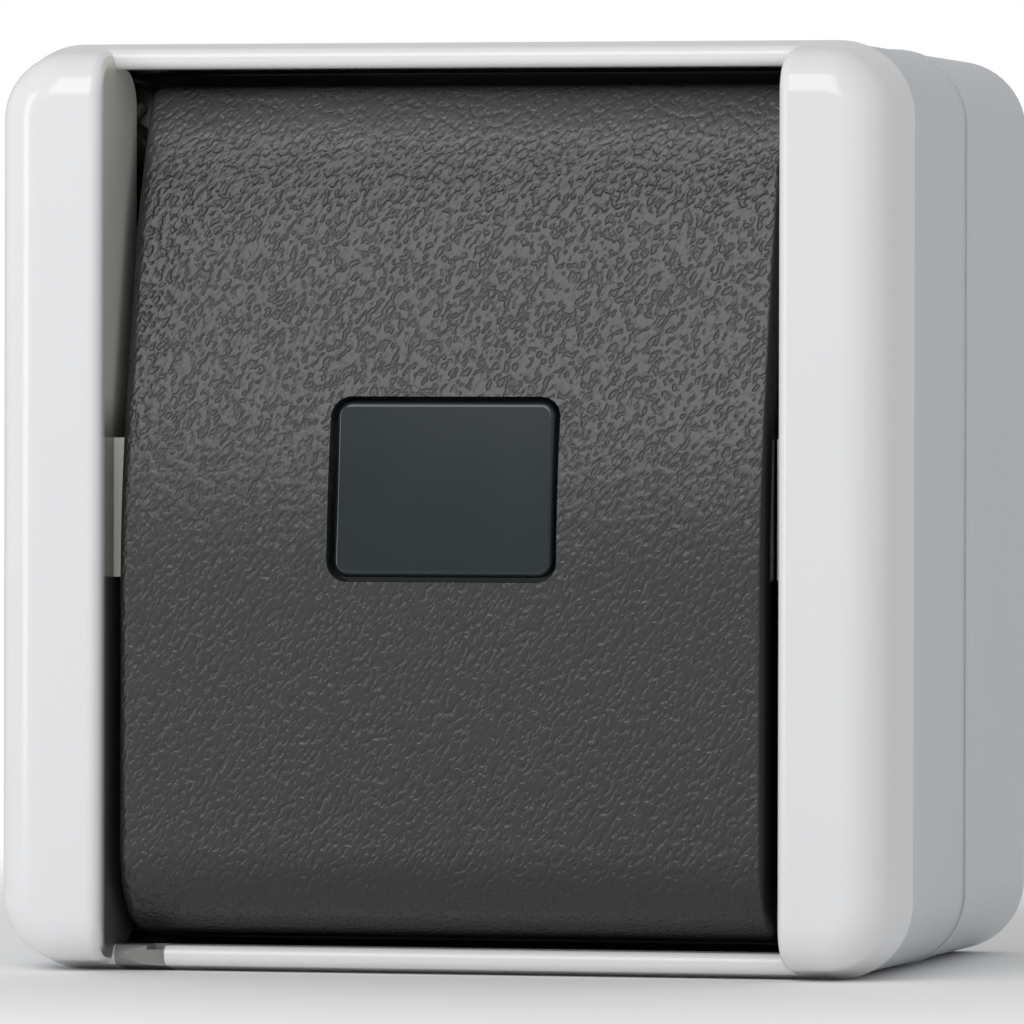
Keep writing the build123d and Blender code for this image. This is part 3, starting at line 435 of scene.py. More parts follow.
def new_geometry_tree(name, inputs):
    """An empty Geometry Nodes tree with its inputs, by name and default."""
    tree = bpy.data.node_groups.new(name, "GeometryNodeTree")
    tree.interface.new_socket("Geometry", in_out="INPUT", socket_type="NodeSocketGeometry")
    add_inputs(tree, inputs)
    tree.interface.new_socket("Geometry", in_out="OUTPUT", socket_type="NodeSocketGeometry")
    entry = add_node(tree, "NodeGroupInput", (-2200, 0))
    leave = add_node(tree, "NodeGroupOutput", (1800, 0))
    return tree, entry, leave


def finish_tree(tree, geometry, entry, leave, sharp_angle):
    """Real geometry with smooth faces, sharp edges above an angle, and the material."""
    real = add_node(tree, "GeometryNodeRealizeInstances", (900, 0))
    tree.links.new(geometry, real.inputs["Geometry"])
    smooth = add_node(tree, "GeometryNodeSetShadeSmooth", (1080, 0), domain="FACE")
    tree.links.new(real.outputs["Geometry"], smooth.inputs[0])
    angle = add_node(tree, "GeometryNodeInputMeshEdgeAngle", (900, -250))
    steep = add_node(tree, "FunctionNodeCompare", (1080, -250), data_type="FLOAT", operation="GREATER_THAN")
    tree.links.new(angle.outputs["Unsigned Angle"], steep.inputs[0])
    steep.inputs[1].default_value = sharp_angle
    sharp = add_node(tree, "GeometryNodeSetShadeSmooth", (1260, 0), domain="EDGE")
    tree.links.new(smooth.outputs[0], sharp.inputs[0])
    tree.links.new(steep.outputs[0], sharp.inputs["Selection"])
    sharp.inputs["Shade Smooth"].default_value = False
    painted = add_node(tree, "GeometryNodeSetMaterial", (1500, 0))
    tree.links.new(sharp.outputs[0], painted.inputs["Geometry"])
    tree.links.new(entry.outputs["Material"], painted.inputs["Material"])
    tree.links.new(painted.outputs["Geometry"], leave.inputs["Geometry"])


def grow(name, tree, mesh, values):
    """Run a Geometry Nodes tree on a mesh and keep the result as a plain mesh."""
    piece = bpy.data.objects.new(name, mesh)
    bpy.context.scene.collection.objects.link(piece)
    modifier = piece.modifiers.new("Build", "NODES")
    modifier.node_group = tree
    for item in tree.interface.items_tree:
        if item.item_type == "SOCKET" and item.in_out == "INPUT" and item.name in values:
            modifier[item.identifier] = values[item.name]
    depsgraph = bpy.context.evaluated_depsgraph_get()
    built = bpy.data.meshes.new_from_object(piece.evaluated_get(depsgraph), depsgraph=depsgraph)
    piece.modifiers.remove(modifier)
    piece.data = built
    return piece


def axis_turned(tree, geometry, place):
    """Geometry built along Z, turned so that Z points out of the wall."""
    turned = add_node(tree, "GeometryNodeTransform", place)
    turned.inputs["Rotation"].default_value = (math.pi / 2, 0.0, 0.0)
    tree.links.new(geometry, turned.inputs["Geometry"])
    return turned.outputs["Geometry"]


def build_screw_tree(name):
    """A threaded screw with a domed head and a slot or a cross, set on every point of the mesh."""
    tree, entry, leave = new_geometry_tree(name, {
        "Shank Radius": 0.0015,
        "Shank Length": 0.012,
        "Thread Pitch": 0.0008,
        "Thread Depth": 0.00025,
        "Thread Rows": 100,
        "Head Radius": 0.0028,
        "Head Height": 0.002,
        "Head Dome": 0.0004,
        "Slot Width": 0.0008,
        "Slot Depth": 0.001,
        "Slot Length": 0.007,
        "Cross Length": 0.0008,
        "Seed": 3,
        "Material": None,
    })
    link = tree.links.new
    value = entry.outputs

    # Shank with a running thread and a pointed end
    shank = add_node(tree, "GeometryNodeMeshCylinder", (-1900, 500), fill_type="TRIANGLE_FAN")
    shank.inputs["Vertices"].default_value = 28
    link(value["Thread Rows"], shank.inputs["Side Segments"])
    link(value["Shank Radius"], shank.inputs["Radius"])
    link(value["Shank Length"], shank.inputs["Depth"])
    spot = add_node(tree, "GeometryNodeInputPosition", (-1900, 100))
    axes = add_node(tree, "ShaderNodeSeparateXYZ", (-1700, 100))
    link(spot.outputs[0], axes.inputs[0])
    round_angle = math_node(tree, "ARCTAN2", axes.outputs["Y"], axes.outputs["X"], (-1500, 200))
    share = math_node(tree, "DIVIDE", round_angle, 2.0 * math.pi, (-1300, 200))
    rise = math_node(tree, "DIVIDE", axes.outputs["Z"], value["Thread Pitch"], (-1500, 0))
    phase = math_node(tree, "FRACT", math_node(tree, "ADD", share, rise, (-1300, 50)), None, (-1150, 50))
    swing = math_node(tree, "PINGPONG", math_node(tree, "MULTIPLY", phase, 2.0, (-1000, 50)), 1.0, (-850, 50))
    groove = math_node(tree, "DIVIDE", value["Thread Depth"], value["Shank Radius"], (-1000, -100))
    cut = math_node(tree, "MULTIPLY", swing, groove, (-700, 0))
    waist = math_node(tree, "SUBTRACT", 1.0, cut, (-550, 0))
    half = math_node(tree, "MULTIPLY", value["Shank Length"], -0.5, (-1300, -200))
    tip_end = math_node(tree, "ADD", half, value["Shank Radius"], (-1100, -250))
    point = map_range(tree, axes.outputs["Z"], half, tip_end, 0.45, 1.0, (-900, -250))
    girth = math_node(tree, "MULTIPLY", waist, point, (-400, -50))
    wound = add_node(tree, "ShaderNodeCombineXYZ", (-100, 100))
    link(math_node(tree, "MULTIPLY", axes.outputs["X"], girth, (-250, 150)), wound.inputs["X"])
    link(math_node(tree, "MULTIPLY", axes.outputs["Y"], girth, (-250, 0)), wound.inputs["Y"])
    sunk = math_node(tree, "ADD", axes.outputs["Z"], half, (-250, -150))
    link(sunk, wound.inputs["Z"])
    thread = add_node(tree, "GeometryNodeSetPosition", (100, 400))
    link(shank.outputs["Mesh"], thread.inputs["Geometry"])
    link(wound.outputs[0], thread.inputs["Position"])

    # Domed head with a softened rim
    head = add_node(tree, "GeometryNodeMeshCylinder", (-1900, -500), fill_type="TRIANGLE_FAN")
    head.inputs["Vertices"].default_value = 36
    head.inputs["Side Segments"].default_value = 5
    head.inputs["Fill Segments"].default_value = 6
    link(value["Head Radius"], head.inputs["Radius"])
    link(value["Head Height"], head.inputs["Depth"])
    level = math_node(tree, "DIVIDE", axes.outputs["Z"], value["Head Height"], (-1500, -500))
    upward = math_node(tree, "ADD", level, 0.5, (-1350, -500))
    fourth = math_node(tree, "POWER", upward, 4.0, (-1200, -500))
    rounding = math_node(tree, "MULTIPLY", fourth, 0.14, (-1050, -500))
    rim = math_node(tree, "SUBTRACT", 1.0, rounding, (-900, -500))
    out = add_node(tree, "ShaderNodeVectorMath", (-1500, -700), operation="LENGTH")
    flat = add_node(tree, "ShaderNodeCombineXYZ", (-1650, -700))
    link(axes.outputs["X"], flat.inputs["X"])
    link(axes.outputs["Y"], flat.inputs["Y"])
    link(flat.outputs[0], out.inputs[0])
    reach = math_node(tree, "DIVIDE", out.outputs["Value"], value["Head Radius"], (-1300, -700))
    bow = math_node(tree, "POWER", reach, 2.0, (-1150, -700))
    fall = math_node(tree, "MULTIPLY", bow, value["Head Dome"], (-1000, -700))
    drop = math_node(tree, "MULTIPLY", fall, upward, (-850, -700))
    seat = math_node(tree, "MULTIPLY", value["Head Height"], 0.5, (-1000, -850))
    lifted = math_node(tree, "ADD", math_node(tree, "SUBTRACT", axes.outputs["Z"], drop, (-700, -700)), seat,
                       (-550, -700))
    domed = add_node(tree, "ShaderNodeCombineXYZ", (-350, -600))
    link(math_node(tree, "MULTIPLY", axes.outputs["X"], rim, (-550, -450)), domed.inputs["X"])
    link(math_node(tree, "MULTIPLY", axes.outputs["Y"], rim, (-550, -550)), domed.inputs["Y"])
    link(lifted, domed.inputs["Z"])
    cap = add_node(tree, "GeometryNodeSetPosition", (-150, -500))
    link(head.outputs["Mesh"], cap.inputs["Geometry"])
    link(domed.outputs[0], cap.inputs["Position"])

    # Slot, and a second one across it
    depth = math_node(tree, "MULTIPLY", value["Slot Depth"], 2.0, (-700, -1050))
    blades = []
    for lengthwise, across, row in (("Slot Length", "Slot Width", 0), ("Slot Width", "Cross Length", 1)):
        size = add_node(tree, "ShaderNodeCombineXYZ", (-500, -1000 - 200 * row))
        link(value[lengthwise], size.inputs["X"])
        link(value[across], size.inputs["Y"])
        link(depth, size.inputs["Z"])
        blade = add_node(tree, "GeometryNodeMeshCube", (-350, -1000 - 200 * row))
        link(size.outputs[0], blade.inputs["Size"])
        lifted_blade = add_node(tree, "GeometryNodeTransform", (-200, -1000 - 200 * row))
        link(blade.outputs["Mesh"], lifted_blade.inputs["Geometry"])
        height = add_node(tree, "ShaderNodeCombineXYZ", (-350, -1150 - 200 * row))
        link(value["Head Height"], height.inputs["Z"])
        link(height.outputs[0], lifted_blade.inputs["Translation"])
        blades.append(lifted_blade.outputs["Geometry"])
    recess = add_node(tree, "GeometryNodeMeshBoolean", (50, -700), operation="DIFFERENCE")
    recess.solver = "EXACT"
    link(cap.outputs["Geometry"], recess.inputs["Mesh 1"])
    for blade in blades:
        link(blade, recess.inputs["Mesh 2"])
    recess.inputs["Self Intersection"].default_value = True

    both = add_node(tree, "GeometryNodeJoinGeometry", (280, 0))
    link(thread.outputs["Geometry"], both.inputs["Geometry"])
    link(recess.outputs["Mesh"], both.inputs["Geometry"])
    spin = add_node(tree, "FunctionNodeRandomValue", (280, -300), data_type="FLOAT")
    spin.inputs[2].default_value = 0.0
    spin.inputs[3].default_value = math.pi
    link(value["Seed"], spin.inputs["Seed"])
    facing = add_node(tree, "ShaderNodeCombineXYZ", (450, -300))
    facing.inputs["X"].default_value = math.pi / 2
    link(spin.outputs[1], facing.inputs["Y"])
    placed = add_node(tree, "GeometryNodeInstanceOnPoints", (650, 0))
    link(value["Geometry"], placed.inputs["Points"])
    link(both.outputs["Geometry"], placed.inputs["Instance"])
    link(facing.outputs[0], placed.inputs["Rotation"])
    finish_tree(tree, placed.outputs["Instances"], entry, leave, 0.6)
    return tree


def build_spring_tree(name):
    """A wound compression spring with closed end coils, its foot on the mesh's point."""
    tree, entry, leave = new_geometry_tree(name, {
        "Wire Radius": 0.0003,
        "Coil Radius": 0.003,
        "Height": 0.008,
        "Turns": 6.0,
        "Material": None,
    })
    link = tree.links.new
    value = entry.outputs
    coil = add_node(tree, "GeometryNodeCurveSpiral", (-1900, 300))
    coil.inputs["Resolution"].default_value = 40
    coil.inputs["Height"].default_value = 0.0
    link(value["Turns"], coil.inputs["Rotations"])
    link(value["Coil Radius"], coil.inputs["Start Radius"])
    link(value["Coil Radius"], coil.inputs["End Radius"])
    along = add_node(tree, "GeometryNodeSplineParameter", (-1900, -100)).outputs["Factor"]
    end = math_node(tree, "DIVIDE", 1.0, value["Turns"], (-1900, -300))
    far = math_node(tree, "SUBTRACT", 1.0, end, (-1700, -350))
    closed = math_node(tree, "MULTIPLY", value["Wire Radius"], CLOSED_RISE, (-1700, -500))
    first = map_range(tree, along, 0.0, end, 0.0, closed, (-1400, -100))
    both_ends = math_node(tree, "MULTIPLY", value["Wire Radius"], 2.0 * CLOSED_RISE + 2.0, (-1700, -650))
    middle_rise = math_node(tree, "SUBTRACT", value["Height"], both_ends, (-1500, -600))
    middle = map_range(tree, along, end, far, 0.0, middle_rise, (-1400, -350))
    last = map_range(tree, along, far, 1.0, 0.0, closed, (-1200, -500))
    lower = math_node(tree, "ADD", math_node(tree, "ADD", first, middle, (-1000, -200)), last, (-850, -250))
    rise = math_node(tree, "ADD", lower, value["Wire Radius"], (-700, -250))
    spot = add_node(tree, "GeometryNodeInputPosition", (-1000, 100))
    axes = add_node(tree, "ShaderNodeSeparateXYZ", (-800, 100))
    link(spot.outputs[0], axes.inputs[0])
    wound = add_node(tree, "ShaderNodeCombineXYZ", (-500, 0))
    link(axes.outputs["X"], wound.inputs["X"])
    link(axes.outputs["Y"], wound.inputs["Y"])
    link(rise, wound.inputs["Z"])
    shaped = add_node(tree, "GeometryNodeSetPosition", (-300, 300))
    link(coil.outputs["Curve"], shaped.inputs["Geometry"])
    link(wound.outputs[0], shaped.inputs["Position"])
    ring = add_node(tree, "GeometryNodeCurvePrimitiveCircle", (-300, 0))
    ring.inputs["Resolution"].default_value = 10
    link(value["Wire Radius"], ring.inputs["Radius"])
    wire = add_node(tree, "GeometryNodeCurveToMesh", (0, 200))
    link(shaped.outputs["Geometry"], wire.inputs["Curve"])
    link(ring.outputs["Curve"], wire.inputs["Profile Curve"])
    wire.inputs["Fill Caps"].default_value = True
    placed = add_node(tree, "GeometryNodeInstanceOnPoints", (500, 0))
    link(value["Geometry"], placed.inputs["Points"])
    link(axis_turned(tree, wire.outputs["Mesh"], (250, 200)), placed.inputs["Instance"])
    finish_tree(tree, placed.outputs["Instances"], entry, leave, 0.9)
    return tree


def seat_mesh(name, points):
    """A mesh of loose points, one for each seat."""
    mesh = bpy.data.meshes.new(name)
    mesh.from_pydata(points, [], [])
    return mesh


def corner_seats(node, radius, seat_y):
    """Seats of two or four equal screws, from the box of their node."""
    low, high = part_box(node)
    xs, zs = (low.x + radius, high.x - radius), (low.z + radius, high.z - radius)
    return [Vector((x, seat_y, z)) for x in xs for z in zs]


# Settings

class FinishSettings(bpy.types.PropertyGroup):
    """Colours and surface values of the pushbutton."""

    frame_color: bpy.props.FloatVectorProperty(
        name="Front Frame", description="Colour of the glossy front frame", subtype="COLOR",
        default=(0.775, 0.78, 0.79), min=0.0, max=1.0)
    housing_color: bpy.props.FloatVectorProperty(
        name="Housing", description="Colour of the housing ring and the wall box", subtype="COLOR",
        default=(0.56, 0.59, 0.625), min=0.0, max=1.0)
    button_color: bpy.props.FloatVectorProperty(
        name="Button", description="Colour of the raised grain on the button", subtype="COLOR",
        default=(0.021, 0.0228, 0.0222), min=0.0, max=1.0)
    # Painted shade: the pits' colour is a little darker than the raised grain
    pit_shade_color: bpy.props.FloatVectorProperty(
        name="Button Pit Shade", description="Colour in the pits of the grain", subtype="COLOR",
        default=(0.0205, 0.0222, 0.0216), min=0.0, max=1.0)
    window_color: bpy.props.FloatVectorProperty(
        name="Window", description="Colour of the dark window plate", subtype="COLOR",
        default=(0.010, 0.018, 0.022), min=0.0, max=1.0)
    grain_size: bpy.props.FloatProperty(
        name="Grain Scale", description="Grain features per metre on the button", default=2700.0, min=100.0,
        max=9000.0)
    grain_depth: bpy.props.FloatProperty(
        name="Grain Depth", description="Height of the grain above its pits", default=0.00004, min=0.0,
        max=0.0005, precision=5, subtype="DISTANCE", unit="LENGTH")


class StageSettings(bpy.types.PropertyGroup):
    """Camera and light of the studio."""

    view_turn: bpy.props.FloatProperty(
        name="View Turn", description="How far the camera stands to the right of straight on",
        default=math.radians(13.85), subtype="ANGLE")
    view_tilt: bpy.props.FloatProperty(
        name="View Tilt", description="How far the camera looks up", default=math.radians(-0.54),
        subtype="ANGLE")
    view_roll: bpy.props.FloatProperty(
        name="View Roll", description="Turn of the picture about its middle", default=math.radians(-0.13),
        subtype="ANGLE")
    lens: bpy.props.FloatProperty(
        name="Lens", description="Focal length on a 36 mm sensor, in millimetres", default=380.2, min=20.0)
    key_power: bpy.props.FloatProperty(
        name="Key Light", description="Power of the large front light", default=1.1, min=0.0, unit="POWER")
    side_power: bpy.props.FloatProperty(
        name="Side Strip", description="Power of the strip at the left", default=0.26, min=0.0, unit="POWER")
    panel_power: bpy.props.FloatProperty(
        name="Left Panel", description="Power of the wide soft panel behind the strip", default=0.12, min=0.0,
        unit="POWER")
    room_level: bpy.props.FloatProperty(
        name="Room Light", description="Brightness of the surrounding room on the object", default=0.56,
        min=0.0, max=2.0)


def finish_settings():
    """The colours and surface values set for this scene."""
    return bpy.context.scene.pushbutton_finish


def stage_settings():
    """The camera and light set for this scene."""
    return bpy.context.scene.pushbutton_stage


# Operators, one for each piece or group of like pieces

class PUSHBUTTON_OT_front_frame(bpy.types.Operator):
    """Finish the glossy front frame"""

    bl_idname = "pushbutton.front_frame"
    bl_label = "Front Frame"

    def execute(self, context):
        gloss = moulded_material("Frame Gloss", finish_settings().frame_color, 0.13, mottle=0.015,
                                 skin_depth=0.000004, skin_size=700.0)
        self.shade_inside(gloss)
        dress(gloss, "cover_frame")
        return {"FINISHED"}

    def shade_inside(self, material):
        """Painted shade in the frame's colour: a duller, slightly olive grey on the rails' inner walls and on
        the clip lugs, darker beside the button's lower half and in the notch of the lower bar.
        """
        tree = material.node_tree
        axes = object_axes(tree, (-1500, 900))
        turned = add_node(tree, "ShaderNodeNewGeometry", (-1500, 600))
        facing = add_node(tree, "ShaderNodeSeparateXYZ", (-1300, 600))
        tree.links.new(turned.outputs["True Normal"], facing.inputs[0])
        inward = math_node(tree, "MULTIPLY", axes["X"], facing.outputs["X"], (-1100, 800))
        inner_side = math_node(tree, "LESS_THAN", inward, INWARD_LIMIT, (-900, 800))
        sideways = math_node(tree, "ABSOLUTE", axes["X"], None, (-1100, 600))
        near = math_node(tree, "LESS_THAN", sideways, INNER_HALF_WIDTH, (-900, 600))
        depth = math_node(tree, "SUBTRACT", axes["Y"], MODEL_BOX[0].y, (-1100, 400))
        behind = map_range(tree, depth, *WALL_DEPTHS, 0.0, 1.0, (-900, 400), smooth=True)
        inner = product(tree, (inner_side, near, behind), (-700, 700))
        deeper = math_node(tree, "GREATER_THAN", depth, LUG_DEPTH, (-900, 200))
        level = math_node(tree, "ABSOLUTE", axes["Z"], None, (-1100, 100))
        beside_lug = math_node(tree, "LESS_THAN", level, LUG_HALF_HEIGHT, (-900, 100))
        lug = product(tree, (near, deeper, beside_lug), (-700, 300))
        # Painted shade: the inner walls and the lugs take a duller olive grey for the shade they lie in
        recolor(tree, math_node(tree, "MAXIMUM", inner, lug, (-300, 500)), INNER_OLIVE_PAINTED_SHADE, (-150, 400))

        # Painted shade: the wall beside the button's lower half, in the button's shade, is much darker
        beside = map_range(tree, axes["Z"], *SHADE_HEIGHTS, 0.0, 0.9, (-900, 0), smooth=True)
        far_back = map_range(tree, depth, *SHADE_DEPTHS, 0.0, 1.0, (-900, -200), smooth=True)
        recolor(tree, product(tree, (beside, far_back, inner), (-700, -100)), WALL_SHADE, (0, 300))

        # Painted shade: the small notch at the left end of the lower bar is darker too
        left_end = math_node(tree, "LESS_THAN", axes["X"], NOTCH_END, (-900, -400))
        on_bar = math_node(tree, "LESS_THAN", sideways, BAR_HALF_WIDTH, (-900, -550))
        low = math_node(tree, "LESS_THAN", axes["Z"], -BAR_HEIGHT, (-900, -700))
        sunk = math_node(tree, "GREATER_THAN", depth, NOTCH_DEPTH, (-900, -850))
        recolor(tree, product(tree, (left_end, on_bar, low, sunk), (-700, -600)), NOTCH_SHADE, (150, 300))


class PUSHBUTTON_OT_housing(bpy.types.Operator):
    """Finish the housing ring, the wall box and the rubber in its joint and entries"""

    bl_idname = "pushbutton.housing"
    bl_label = "Housing"

    def execute(self, context):
        color = finish_settings().housing_color
        for name, node in (("Housing Satin", "base_box"), ("Housing Ring Satin", "middle_housing")):
            satin = moulded_material(name, color, 0.3, skin_depth=0.000008, skin_size=1200.0)
            # The ring's chamber gets painted shade
            if node == "middle_housing":
                self.paint_chamber_shade(satin)
            dress(satin, node)
        seal = moulded_material("Seal Rubber", (0.016, 0.016, 0.017), 0.62, mottle=0.2, skin_depth=0.00002,
                                skin_size=1600.0)
        dress(seal, "base_gasket")
        dress(rubber_entry_material("Entry Rubber", (0.36, 0.38, 0.40)), "cable_grommet", "blanking_grommet")
        return {"FINISHED"}

    def paint_chamber_shade(self, material):
        """Painted shade: a dark colour in the ring's chamber round the button, in front of its deck, where
        little light gets in.
        """
        tree = material.node_tree
        axes = object_axes(tree, (-1500, 700))
        sideways = math_node(tree, "ABSOLUTE", axes["X"], None, (-1100, 800))
        upward = math_node(tree, "ABSOLUTE", axes["Z"], None, (-1100, 600))
        widest = math_node(tree, "MAXIMUM", sideways, upward, (-900, 700))
        cornerwise = math_node(tree, "ADD", sideways, upward, (-900, 900))
        chamber = product(tree, (
            math_node(tree, "LESS_THAN", cornerwise, CHAMBER_CORNER, (-700, 900)),
            math_node(tree, "LESS_THAN", widest, CHAMBER_HALF_WIDTH, (-700, 700)),
            math_node(tree, "LESS_THAN", axes["Y"], DECK_MARGIN - DECK_FRONT, (-700, 500)),
            math_node(tree, "GREATER_THAN", axes["Y"], MODEL_BOX[0].y + CHAMBER_START, (-700, 300)),
        ), (-500, 700))
        recolor(tree, chamber, CHAMBER_PAINTED_SHADE, (-150, 400))


class PUSHBUTTON_OT_button(bpy.types.Operator):
    """Finish the grained button"""

    bl_idname = "pushbutton.button"
    bl_label = "Button"

    def execute(self, context):
        values = finish_settings()
        material, tree, shader = start_material("Button Grain")
        grain = add_node(tree, "ShaderNodeGroup", (-700, -100))
        grain.node_tree = group_named("Leather Grain", build_leather_grain)
        grain.inputs["Grain Scale"].default_value = values.grain_size
        # Painted shade: the grain's pits take the slightly darker pit colour
        color = mix_color(tree, grain.outputs["Groove"], (*values.button_color, 1.0),
                          (*values.pit_shade_color, 1.0), (-400, 200))
        tree.links.new(color, shader.inputs["Base Color"])
        axes = object_axes(tree, (-1100, 500))

        # Painted light: the roll under the top bar gets a lighter colour
        roll = map_range(tree, axes["Z"], *ROLL_HEIGHTS, 0.0, 1.0, (-700, 500), smooth=True)
        recolor(tree, roll, ROLL_PAINTED_LIGHT, (-200, 300))

        # Painted shade: the rounded right edge, beside the rail, is darker in colour and shines less; it is
        # also smooth, without grain
        edge = map_range(tree, axes["X"], EDGE_START, EDGE_START + EDGE_FADE, 0.0, 1.0, (-700, 300),
                         smooth=True)
        recolor(tree, edge, EDGE_PAINTED_SHADE, (0, 400))
        shine = map_range(tree, edge, 0.0, 1.0, 0.5, 0.3, (-200, -250))
        tree.links.new(shine, shader.inputs["Specular IOR Level"])
        depth = map_range(tree, edge, 0.0, 1.0, values.grain_depth, 0.0, (-950, -250))
        tree.links.new(depth, grain.inputs["Depth"])
        shader.inputs["IOR"].default_value = 1.56
        rough = map_range(tree, grain.outputs["Groove"], 0.0, 1.0, 0.3, 0.36, (-400, -50))
        tree.links.new(rough, shader.inputs["Roughness"])
        tree.links.new(grain.outputs["Normal"], shader.inputs["Normal"])
        dress(material, "rocker")
        return {"FINISHED"}


class PUSHBUTTON_OT_window(bpy.types.Operator):
    """Finish the dark window plate"""

    bl_idname = "pushbutton.window"
    bl_label = "Window"

    def execute(self, context):
        plate = moulded_material("Window Plate", finish_settings().window_color, 0.1, mottle=0.2,
                                 skin_depth=0.000002, skin_size=500.0)
        dress(plate, "window_insert")
        return {"FINISHED"}


class PUSHBUTTON_OT_seal(bpy.types.Operator):
    """Finish the rubber mat and the frame that clamps it"""

    bl_idname = "pushbutton.seal"
    bl_label = "Seal"

    def execute(self, context):
        rubber = moulded_material("Mat Rubber", (0.012, 0.012, 0.013), 0.7, mottle=0.3, skin_depth=0.00003,
                                  skin_size=1400.0)
        clamp = moulded_material("Clamp Plastic", (0.02, 0.02, 0.021), 0.45, mottle=0.1)
        dress(clamp, "membrane_retainer")
        mat = self.mat(context)
        boot = self.boot(context)
        for piece in (mat, boot):
            piece.data.materials.clear()
            piece.data.materials.append(rubber)
            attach(piece, "housing")
            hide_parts("sealing_membrane")
        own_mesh(boot)
        return {"FINISHED"}

    def mat(self, context):
        """The flat mat, cut free of its boot."""
        shape = bmesh.new()
        shape.from_mesh(NODES["sealing_membrane"].data)
        bmesh.ops.remove_doubles(shape, verts=shape.verts, dist=WELD_DISTANCE)
        cut = -(DECK_FRONT + MAT_THICKNESS + MAT_CUT_MARGIN)
        bmesh.ops.bisect_plane(shape, geom=shape.verts[:] + shape.edges[:] + shape.faces[:],
                               plane_co=(0, cut, 0), plane_no=(0, -1, 0), clear_outer=True)
        rims = [edge for edge in shape.edges if len(edge.link_faces) == 1]
        bmesh.ops.bridge_loops(shape, edges=rims)
        bmesh.ops.recalc_face_normals(shape, faces=shape.faces)
        return self.keep_shape(context, "sealing_mat", shape)

    def keep_shape(self, context, name, shape):
        """A piece made from a finished shape."""
        mesh = bpy.data.meshes.new(name)
        shape.to_mesh(mesh)
        shape.free()
        piece = bpy.data.objects.new(name, mesh)
        context.scene.collection.objects.link(piece)
        return piece

    def boot(self, context):
        """The rubber boot over the push pin, with one rolled fold, turned from its section."""
        outer = [(5.45, 0.3), (5.45, 1.3), (5.3, 1.7), (4.8, 2.0), (4.7, 2.3), (5.0, 2.6), (5.35, 3.0),
                 (5.3, 3.5), (4.9, 4.1), (4.2, 4.55), (3.2, 4.78), (0.0, 4.8)]
        inner = [(0.0, 4.05), (3.0, 4.0), (3.8, 3.8), (4.3, 3.4), (4.55, 3.0), (4.2, 2.65), (4.0, 2.3),
                 (4.1, 1.9), (4.5, 1.5), (4.65, 1.1), (4.65, 0.3)]
        shape = bmesh.new()
        section = [shape.verts.new((r * MM, -DECK_FRONT - h * MM, -PIN_OFFSET)) for r, h in outer + inner]
        edges = [shape.edges.new(pair) for pair in zip(section, section[1:] + section[:1])]
        bmesh.ops.spin(shape, geom=section + edges, cent=(0, 0, -PIN_OFFSET), axis=(0, 1, 0),
                       angle=2 * math.pi, steps=56, use_merge=True)
        bmesh.ops.remove_doubles(shape, verts=shape.verts, dist=WELD_DISTANCE)
        flat = [face for face in shape.faces if face.calc_area() < 1e-12]
        bmesh.ops.delete(shape, geom=flat, context="FACES")
        bmesh.ops.recalc_face_normals(shape, faces=shape.faces)
        for face in shape.faces:
            face.smooth = True
        return self.keep_shape(context, "pin_boot", shape)


class PUSHBUTTON_OT_screws(bpy.types.Operator):
    """Threaded screws in the housing, the insert, the clamps and the earth block"""

    bl_idname = "pushbutton.screws"
    bl_label = "Screws"

    def execute(self, context):
        zinc = bpy.data.materials["Zinc Plate"]
        tree = build_screw_tree("Threaded Screw")
        for node, radius, head, cross, pitch in (
            ("housing_screws", 1.7, (3.1, 2.2), True, 1.3),
            ("insert_screws", 1.5, (2.8, 2.0), False, 0.7),
            ("terminal_screws", 1.5, (2.3, 2.2), False, 0.7),
            ("earth_screw", 1.5, (2.3, 2.2), False, 0.7),
        ):
            low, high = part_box(node)
            head_radius, head_height = head[0] * MM, head[1] * MM
            seat_y = low.y + head_height
            middle_z = (low.z + high.z) / 2
            if node == "earth_screw":
                seats = [Vector(((low.x + high.x) / 2, seat_y, middle_z))]
            elif node == "terminal_screws":
                seats = [Vector((x, seat_y, middle_z)) for x in (low.x + head_radius, high.x - head_radius)]
            else:
                seats = corner_seats(node, head_radius, seat_y)
            if node == "insert_screws":
                seats = [seats[1], seats[2]]
            length = high.y - seat_y
            piece = grow(node + "_threaded", tree, seat_mesh(node + "_seats", seats), {
                "Shank Radius": radius * MM, "Shank Length": length, "Thread Pitch": pitch * MM,
                "Thread Depth": pitch * THREAD_SHARE * MM,
                "Thread Rows": int(length / (pitch * MM) * ROWS_PER_TURN),
                "Head Radius": head_radius, "Head Height": head_height, "Head Dome": head_height * DOME_SHARE,
                "Slot Width": SLOT_WIDTH * MM, "Slot Depth": head_height * SLOT_SHARE,
                "Slot Length": (CROSS_LENGTH if cross else 3 * head[0]) * MM,
                "Cross Length": (CROSS_LENGTH if cross else SLOT_WIDTH) * MM,
                "Material": zinc,
            })
            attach(piece, "housing")
            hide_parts(node)
        return {"FINISHED"}


class PUSHBUTTON_OT_springs(bpy.types.Operator):
    """Wound springs with closed ends behind the push pin and over the contact bridge"""

    bl_idname = "pushbutton.springs"
    bl_label = "Springs"

    def execute(self, context):
        wire = bpy.data.materials["Spring Wire"]
        tree = build_spring_tree("Closed Coil Spring")
        for node, body, wire_radius, turns in (
            ("return_spring", "housing", 0.3, 6.5),
            ("overtravel_spring", "plunger", 0.15, 4.5),
        ):
            low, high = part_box(node)
            foot = Vector(((low.x + high.x) / 2, high.y, (low.z + high.z) / 2))
            height = high.y - low.y
            piece = grow(node + "_wound", tree, seat_mesh(node + "_foot", [foot]), {
                "Wire Radius": wire_radius * MM, "Coil Radius": (high.x - low.x) / 2 - wire_radius * MM,
                "Height": height, "Turns": turns, "Material": wire,
            })
            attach(piece, body)
            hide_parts(node)
            if node == "return_spring":
                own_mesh(piece)
        return {"FINISHED"}


